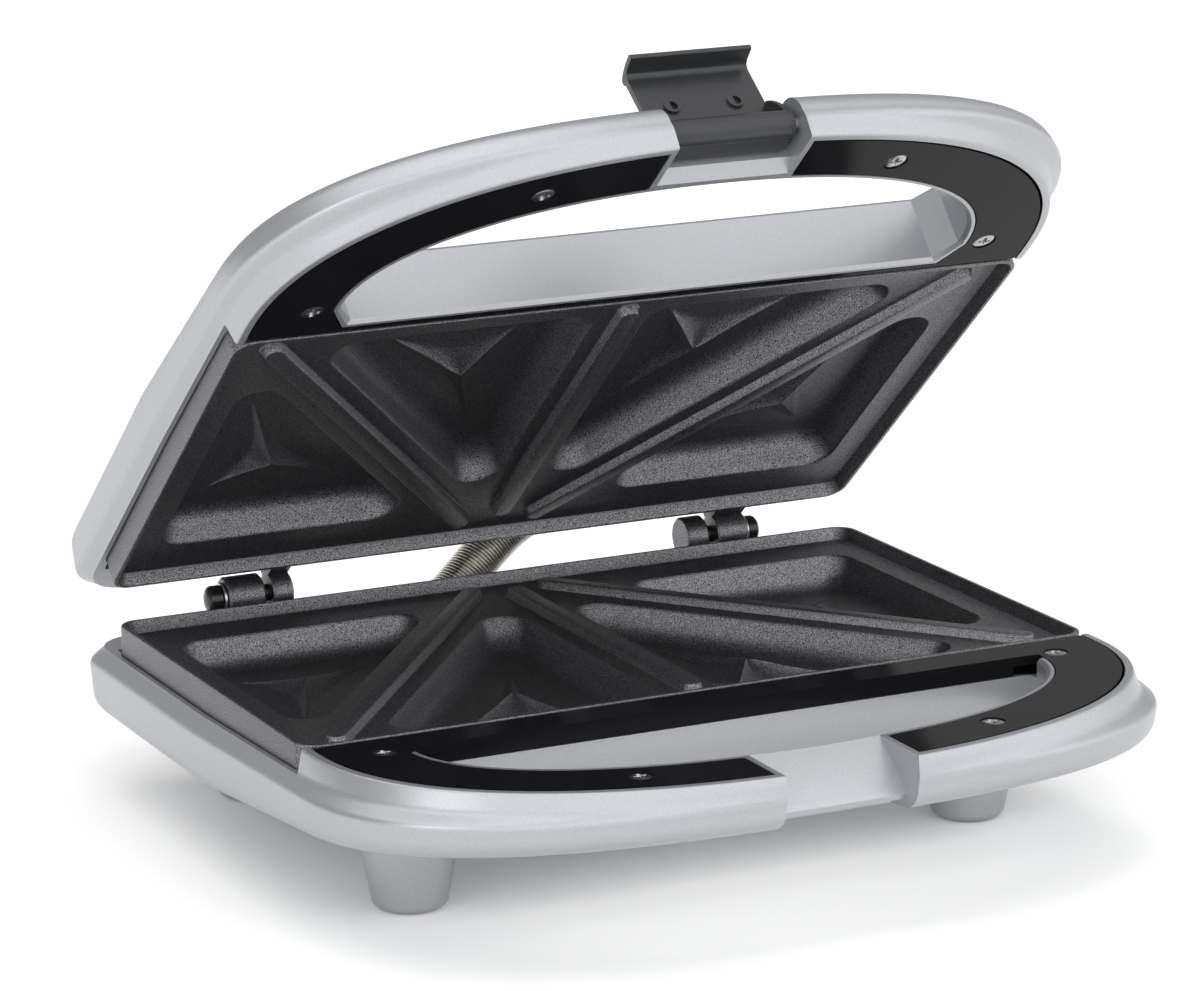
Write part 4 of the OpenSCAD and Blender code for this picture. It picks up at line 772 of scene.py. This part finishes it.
for half_name, lid, place_of in (("lower", False, BASE_PLACE), ("upper", True, LID_PLACE)):
    spots = [(side * x, y) for side in (-1, 1) for x, y in (FRONT_SCREW, SIDE_SCREW)]
    heads = joined([cross_screw(Matrix.Translation((x, y, -0.4)), 3.3, 1.5, 9.4)
                    for x, y in spots])
    settle(heads, half_name + "_trim_screw_set", place_of, merge=0.002)
    dress(heads, "lid" if lid else "base", "steel", dark_steel, half_name + "_trim_screws")
    backward = Matrix.Rotation(math.radians(-90), 4, "X")
    head_y = PLATE_DEPTH + SHELL_BACK + BEVEL - 2.6
    heads = joined([cross_screw(Matrix.Translation((side * REAR_SCREW_X, head_y + 1.4,
                                                    REAR_SCREW_Z)) @ backward,
                                2.8, 1.5, head_y - PLATE_DEPTH) for side in (-1, 1)])
    settle(heads, half_name + "_rear_screw_set", place_of, merge=0.002)
    dress(heads, "lid" if lid else "base", "steel", dark_steel, half_name + "_rear_screws")

# ---------------------------------------------------------------- conduit
# A ribbed hose of stainless strip carries the wires from the base to the lid. Its ends are clamped in
# turned steel ferrules, and it is drawn in one bend between them with the lid standing open.
HOSE_R, GROOVE, BORE_R = 6.5, 0.9, 4.5
ALCOVE_HALF = 50.0
HOSE_X = ALCOVE_HALF - 3
hose_y = PLATE_DEPTH + SIDE_GAP + WALL + 0.3 + HOSE_R + 0.3


def hose_z(level):
    return -(level - WALL - 0.3 - HOSE_R - 0.3)


hose_from = Vector((-HOSE_X, hose_y, hose_z(BASE_HALF[0])))
hose_to = BASE_PLACE.inverted() @ (LID_PLACE @ Vector((HOSE_X, hose_y, hose_z(LID_HALF[0]))))
run_in = Vector((2 * HOSE_R, 0, 0))
bend_a, bend_b = hose_from + run_in, hose_to - run_in
pull = Vector(((bend_b.x - bend_a.x) * 0.42, 0, 0))


def hose_point(t):
    # along the straight end, the bend and the other straight end, t from -1 to 2
    if t < 0:
        return bend_a + (bend_a - hose_from) * t
    if t > 1:
        return bend_b + (hose_to - bend_b) * (t - 1)
    s = 1 - t
    return (s ** 3 * bend_a + 3 * s * s * t * (bend_a + pull) + 3 * s * t * t * (bend_b - pull)
            + t ** 3 * bend_b)


def hose_ring(t, r):
    ahead_of = (hose_point(min(t + 1e-3, 2)) - hose_point(max(t - 1e-3, -1))).normalized()
    side = ahead_of.cross(Vector((0, 1, 0))).normalized()
    other = side.cross(ahead_of)
    return [hose_point(t) + r * (math.cos(a) * side + math.sin(a) * other)
            for a in (math.tau * k / 24 for k in range(24))]


RIB_SHAPE = ((0.0, 1.0), (0.2, 0.45), (0.34, 0.08), (0.5, 0.0), (0.66, 0.08), (0.8, 0.45))
spans = [(-1 + k / 11, 1 / 11) for k in range(11)]
spans += [(k / 76, 1 / 76) for k in range(76)] + [(1 + k / 11, 1 / 11) for k in range(11)]
outside = [hose_ring(t + share * pitch, HOSE_R - GROOVE * deep)
           for t, pitch in spans for share, deep in RIB_SHAPE]
inside = [hose_ring(2 - 3 * k / 60, BORE_R) for k in range(61)]
hose = settle(as_object(loft(outside + [hose_ring(2, HOSE_R - GROOVE)] + inside, closed=False)[0]),
              "ribbed_conduit", BASE_PLACE, sharp=75, merge=1e-5)
hose_steel = grained("stainless_strip", (0.56, 0.54, 0.49), 1.0, 0.24, 700, 0.85, 1.1, 0.05)[0]
hose.data.materials.append(hose_steel)
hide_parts("flexible_conduit")
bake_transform(hose)

turned_steel = grained("turned_steel", (0.5, 0.5, 0.5), 1.0, 0.3, 1200, 0.9, 1.1, 0.05)[0]


def turned(profile, segments=48):
    # a closed profile of (radius, x) turned about the x axis; it may touch the axis
    bm = bmesh.new()
    verts = [bm.verts.new((x, 0, r)) for r, x in profile]
    closing = [] if profile[0][0] == 0 else [(verts[-1], verts[0])]
    edges = [bm.edges.new(pair) for pair in list(zip(verts, verts[1:])) + closing]
    bmesh.ops.spin(bm, geom=verts + edges, cent=(0, 0, 0), axis=(1, 0, 0), angle=math.tau,
                   steps=segments, use_merge=True)
    bmesh.ops.remove_doubles(bm, verts=bm.verts[:], dist=1e-4)
    bmesh.ops.recalc_face_normals(bm, faces=bm.faces[:])
    return as_object(bm)


def moved(piece, *steps):
    for step in steps:
        piece.data.transform(step)
    if math.prod(step.determinant() for step in steps) < 0:
        piece.data.flip_normals()
    return piece


FLIP_X = Matrix.Diagonal((-1, 1, 1, 1))
ferrule_profile = [(BORE_R, 0), (5.1, 0), (5.3, 0.2), (5.3, 6.5), (6.5, 6.5), (6.8, 6.8),
                   (6.8, 9.2), (6.5, 9.5), (BORE_R, 9.5)]
for name, half, lid, place_of in (("lower", BASE_HALF, False, BASE_PLACE),
                                  ("upper", LID_HALF, True, LID_PLACE)):
    ferrule = moved(turned(ferrule_profile),
                    Matrix.Translation((-56.5, hose_y, hose_z(half[0]))),
                    *([FLIP_X] if lid else []))
    settle(ferrule, name + "_turned_ferrule", place_of)
    dress(ferrule, "lid" if lid else "base", "steel", turned_steel, name + "_conduit_ferrule")

# ---------------------------------------------------------------- hinge pins
# Two black domed steel pins, each pushed in from the outside through a bright
# washer and the knuckles of both plates.
black_oxide = grained("black_oxide", (0.010, 0.010, 0.011), 0.0, 0.25, 1500, 0.85, 1.15, 0.08)[0]
pin_spans = (("left", -79.3, -60.8, 1), ("right", 86.9, 68.1, -1))
washers = []
for side, head_x, end_x, way in pin_spans:
    length = abs(end_x - head_x)
    dome = [(4 * math.cos(math.radians(a)), -2.4 - 2 * math.sin(math.radians(a)))
            for a in range(90, -1, -10)]
    pin = turned([(0, -4.4)] + dome[1:] + [(4, -0.3), (3.7, 0), (2.5, 0), (2.5, length - 0.5),
                                           (2, length), (0, length)])
    moved(pin, *([FLIP_X] if way < 0 else []), Matrix.Translation((head_x, HINGE_Y, -HINGE_DROP)))
    settle(pin, "domed_pin_" + side, BASE_PLACE, merge=0.002)
    dress(pin, "base", "black_pin", black_oxide, "hinge_pin_" + side)
    washer = turned([(2.53, 0), (4.4, 0), (4.6, 0.2), (4.6, 0.6), (4.4, 0.8), (2.53, 0.8)])
    washers.append(moved(washer, Matrix.Translation((head_x + 0.15 if way > 0 else head_x - 0.95,
                                                     HINGE_Y, -HINGE_DROP))))
washer_pair = settle(joined(washers), "bright_washers", BASE_PLACE, merge=0.002)
dress(washer_pair, "base", "steel", turned_steel, "hinge_washers")

# ---------------------------------------------------------------- latch
# A flap of dark grey plastic on a steel pin across the lid's recess. Its hooked
# end catches the base; two round bosses and two cheeks stiffen it.
FLAP_LEAN = math.radians(13)
FLAP_HALF, FLAP_IN, FLAP_OUT, FLAP_LEN = 17.2, 5.0, 6.9, 28.2


def flap_at(along, out):
    return (LATCH_Y + along * math.sin(FLAP_LEAN) + out * math.cos(FLAP_LEAN),
            LATCH_Z - along * math.cos(FLAP_LEAN) + out * math.sin(FLAP_LEAN))


def smooth_profile(points, steps=4):
    # a closed run of points, each corner eased by a short curve
    eased = []
    n = len(points)
    for i in range(n):
        a, b, c = (Vector(points[(i + k) % n]) for k in (-1, 0, 1))
        reach = min((a - b).length, (c - b).length) * 0.42
        p, q = b + (a - b).normalized() * reach, b + (c - b).normalized() * reach
        eased += [tuple(p.lerp(b, t).lerp(b.lerp(q, t), t)) for t in
                  (k / steps for k in range(steps + 1))]
    return eased


L = FLAP_LEN
hook = [flap_at(*p) for p in ((-2.4, FLAP_IN), (L - 3.4, FLAP_IN), (L - 2.1, FLAP_IN - 0.5),
                              (L - 1.6, FLAP_IN - 1.9), (L - 1.7, -1), (L - 0.9, -1.4),
                              (L - 0.1, -0.9), (L, 3), (L - 0.5, FLAP_OUT - 1),
                              (L - 1.2, FLAP_OUT + 0.6), (L - 2, FLAP_OUT + 0.9),
                              (L - 2.8, FLAP_OUT + 0.7), (L - 3.6, FLAP_OUT), (-2.4, FLAP_OUT))]
cheek = [(LATCH_Y - 3.6, LATCH_Z)] + [flap_at(*p) for p in ((6.6, -1.2), (11.4, 2.6), (11.6, FLAP_IN + 0.5),
                                               (0, FLAP_IN + 0.5), (-2.4, 1))]
web = [flap_at(*p) for p in ((-2.4, 0), (1, 0), (1, FLAP_IN + 0.5), (-2.4, FLAP_IN + 0.5))]
flap = across(smooth_profile(hook), -FLAP_HALF, FLAP_HALF)
combine(flap, "UNION", across(web, -FLAP_HALF, FLAP_HALF),
        rod((-FLAP_HALF, LATCH_Y, LATCH_Z), (FLAP_HALF, LATCH_Y, LATCH_Z), 3.6, segments=64),
        across(smooth_profile(cheek, 2), FLAP_HALF - 1.2, FLAP_HALF),
        across(smooth_profile(cheek, 2), -FLAP_HALF, 1.2 - FLAP_HALF))
for x in (-9, 9):
    (y0, z0), (y1, z1) = flap_at(14, FLAP_IN - 0.7), flap_at(14, FLAP_IN + 0.5)
    combine(flap, "UNION", rod((x, y0, z0), (x, y1, z1), 2.2, segments=40))
    (y2, z2), (y3, z3) = flap_at(14, FLAP_IN - 1.5), flap_at(14, FLAP_IN + 0.4)
    dee = rod((x, y2, z2), (x, y3, z3), 1.45, segments=32)
    combine(dee, "DIFFERENCE", block((x - 3, -90, -40), (x - 0.4, -50, 0)))
    combine(flap, "DIFFERENCE", dee)
combine(flap, "DIFFERENCE", rod((-FLAP_HALF - 1, LATCH_Y, LATCH_Z),
                                 (FLAP_HALF + 1, LATCH_Y, LATCH_Z), SCREW_HOLE_R))
settle(flap, "latch_flap_moulding", LID_PLACE, sharp=38)
latch_grey = grained("latch_plastic", (0.020, 0.021, 0.023), 0.0, 0.3, 2400, 0.85, 1.15, 0.1)[0]
dress(edge_finish(flap, 0.25), "latch", "grey_latch", latch_grey, "latch_flap")

pin = moved(turned([(0, 0), (1.2, 0), (1.5, 0.3), (1.5, 39.7), (1.2, 40), (0, 40)]),
            Matrix.Translation((-20, LATCH_Y, LATCH_Z)))
settle(pin, "latch_cross_pin", LID_PLACE, merge=0.002)
dress(pin, "lid", "steel", turned_steel, "latch_pin")

# ---------------------------------------------------------------- rubber parts
# Four round feet pressed into sockets under the base, and the grommet for the
# supply cord, moulded in black rubber with softened edges.
rubber = grained("moulded_rubber", (0.022, 0.022, 0.023), 0.0, 0.65, 1400, 0.8, 1.2, 0.25)[0]


def eased(node_name, name, width):
    # one of the frame's own solids, its seams closed and its edges softened
    solid = bpy.data.objects.new(name, frame["nodes"][node_name].data.copy())
    solid.data.name = name
    scene.collection.objects.link(solid)
    bm = bmesh.new()
    bm.from_mesh(solid.data)
    bmesh.ops.remove_doubles(bm, verts=bm.verts[:], dist=1e-6)
    bmesh.ops.dissolve_limit(bm, angle_limit=0.01, verts=bm.verts[:], edges=bm.edges[:])
    bmesh.ops.recalc_face_normals(bm, faces=bm.faces[:])
    for face in bm.faces:
        face.smooth = True
    for edge in bm.edges:
        edge.smooth = len(edge.link_faces) == 2 and edge.calc_face_angle(0) < math.radians(30)
    bm.to_mesh(solid.data)
    bm.free()
    return edge_finish(solid, width, angle=40)


dress(eased("foot_pads", "rubber_feet", 0.5), "base", "rubber", rubber, "foot_pads")
dress(eased("cord_grommet", "rubber_grommet", 0.3), "base", "rubber", rubber, "cord_grommet")

# ---------------------------------------------------------------- heaters
# A steel-sheathed tube heater lies behind each plate, held by five bent clips and
# their screws, with a bright sheet between it and the casing.
sheath = grained("heater_sheath", (0.20, 0.21, 0.20), 0.85, 0.5, 800, 0.7, 1.2, 0.2)[0]
zinc_plate = grained("zinc_plate", (0.56, 0.57, 0.58), 1.0, 0.34, 900, 0.85, 1.1, 0.1)[0]
bright_sheet = grained("bright_sheet", (0.78, 0.78, 0.80), 1.0, 0.26, 300, 0.92, 1.05, 0.05)[0]
for half_name, body in (("lower", "base"), ("upper", "lid")):
    dress(eased(half_name + "_element", half_name + "_tube_heater", 0.15), body, "heater_sheath",
          sheath, half_name + "_element")
    for part, width in (("element_clips", 0.1), ("clip_screws", 0.15)):
        dress(eased(half_name + "_" + part, half_name + "_zinc_" + part, width), body, "steel",
              zinc_plate, half_name + "_" + part)
    dress(eased(half_name + "_reflector", half_name + "_bright_reflector", 0.1), body,
          "reflector_sheet", bright_sheet, half_name + "_reflector")

# ---------------------------------------------------------------- thermostat, fuse, terminals
# A disc thermostat on the lower plate, a thermal fuse beside it and a block for
# the supply wires, in pale ceramic and plated steel.
steatite = grained("steatite", (0.80, 0.77, 0.69), 0.0, 0.55, 900, 0.9, 1.05, 0.15)[0]
dress(eased("thermostat", "disc_thermostat", 0.25), "base", "ceramic", steatite, "thermostat")
dress(eased("thermal_fuse", "fuse_can", 0.2), "base", "steel", zinc_plate, "thermal_fuse")
dress(eased("terminal_block", "wire_terminals", 0.3), "base", "ceramic", steatite,
      "terminal_block")

# ---------------------------------------------------------------- wiring
# Stranded wires in pale woven glass sleeves, from the terminals through the
# thermostat and the fuse to both heaters and the lamps.
glass_sleeve = grained("glass_sleeve", (0.70, 0.67, 0.60), 0.0, 0.85, 2200, 0.7, 1.2, 0.5)[0]
for half_name, body in (("lower", "base"), ("upper", "lid")):
    node = frame["nodes"][half_name + "_wiring"]
    node.data.materials.clear()
    node.data.materials.append(glass_sleeve)

# ---------------------------------------------------------------- lamps
# Two small lamps under a red and a green lens, pressed through the lid's top.
red_plastic = grained("red_lens_plastic", (0.50, 0.012, 0.012), 0.0, 0.14, 500, 0.9, 1.1, 0.02)[0]
green_plastic = grained("green_lens_plastic", (0.015, 0.36, 0.06), 0.0, 0.14, 500, 0.9, 1.1,
                        0.02)[0]
lamp_glass = grained("lamp_glass", (0.90, 0.76, 0.56), 0.0, 0.12, 600, 0.9, 1.1, 0.02)[0]
dress(eased("power_lamp_lens", "red_lens", 0.25), "lid", "red_lens", red_plastic,
      "power_lamp_lens")
dress(eased("ready_lamp_lens", "green_lens", 0.25), "lid", "green_lens", green_plastic,
      "ready_lamp_lens")
dress(eased("indicator_lamps", "neon_lamps", 0.15), "lid", "lamp_glass", lamp_glass,
      "indicator_lamps")
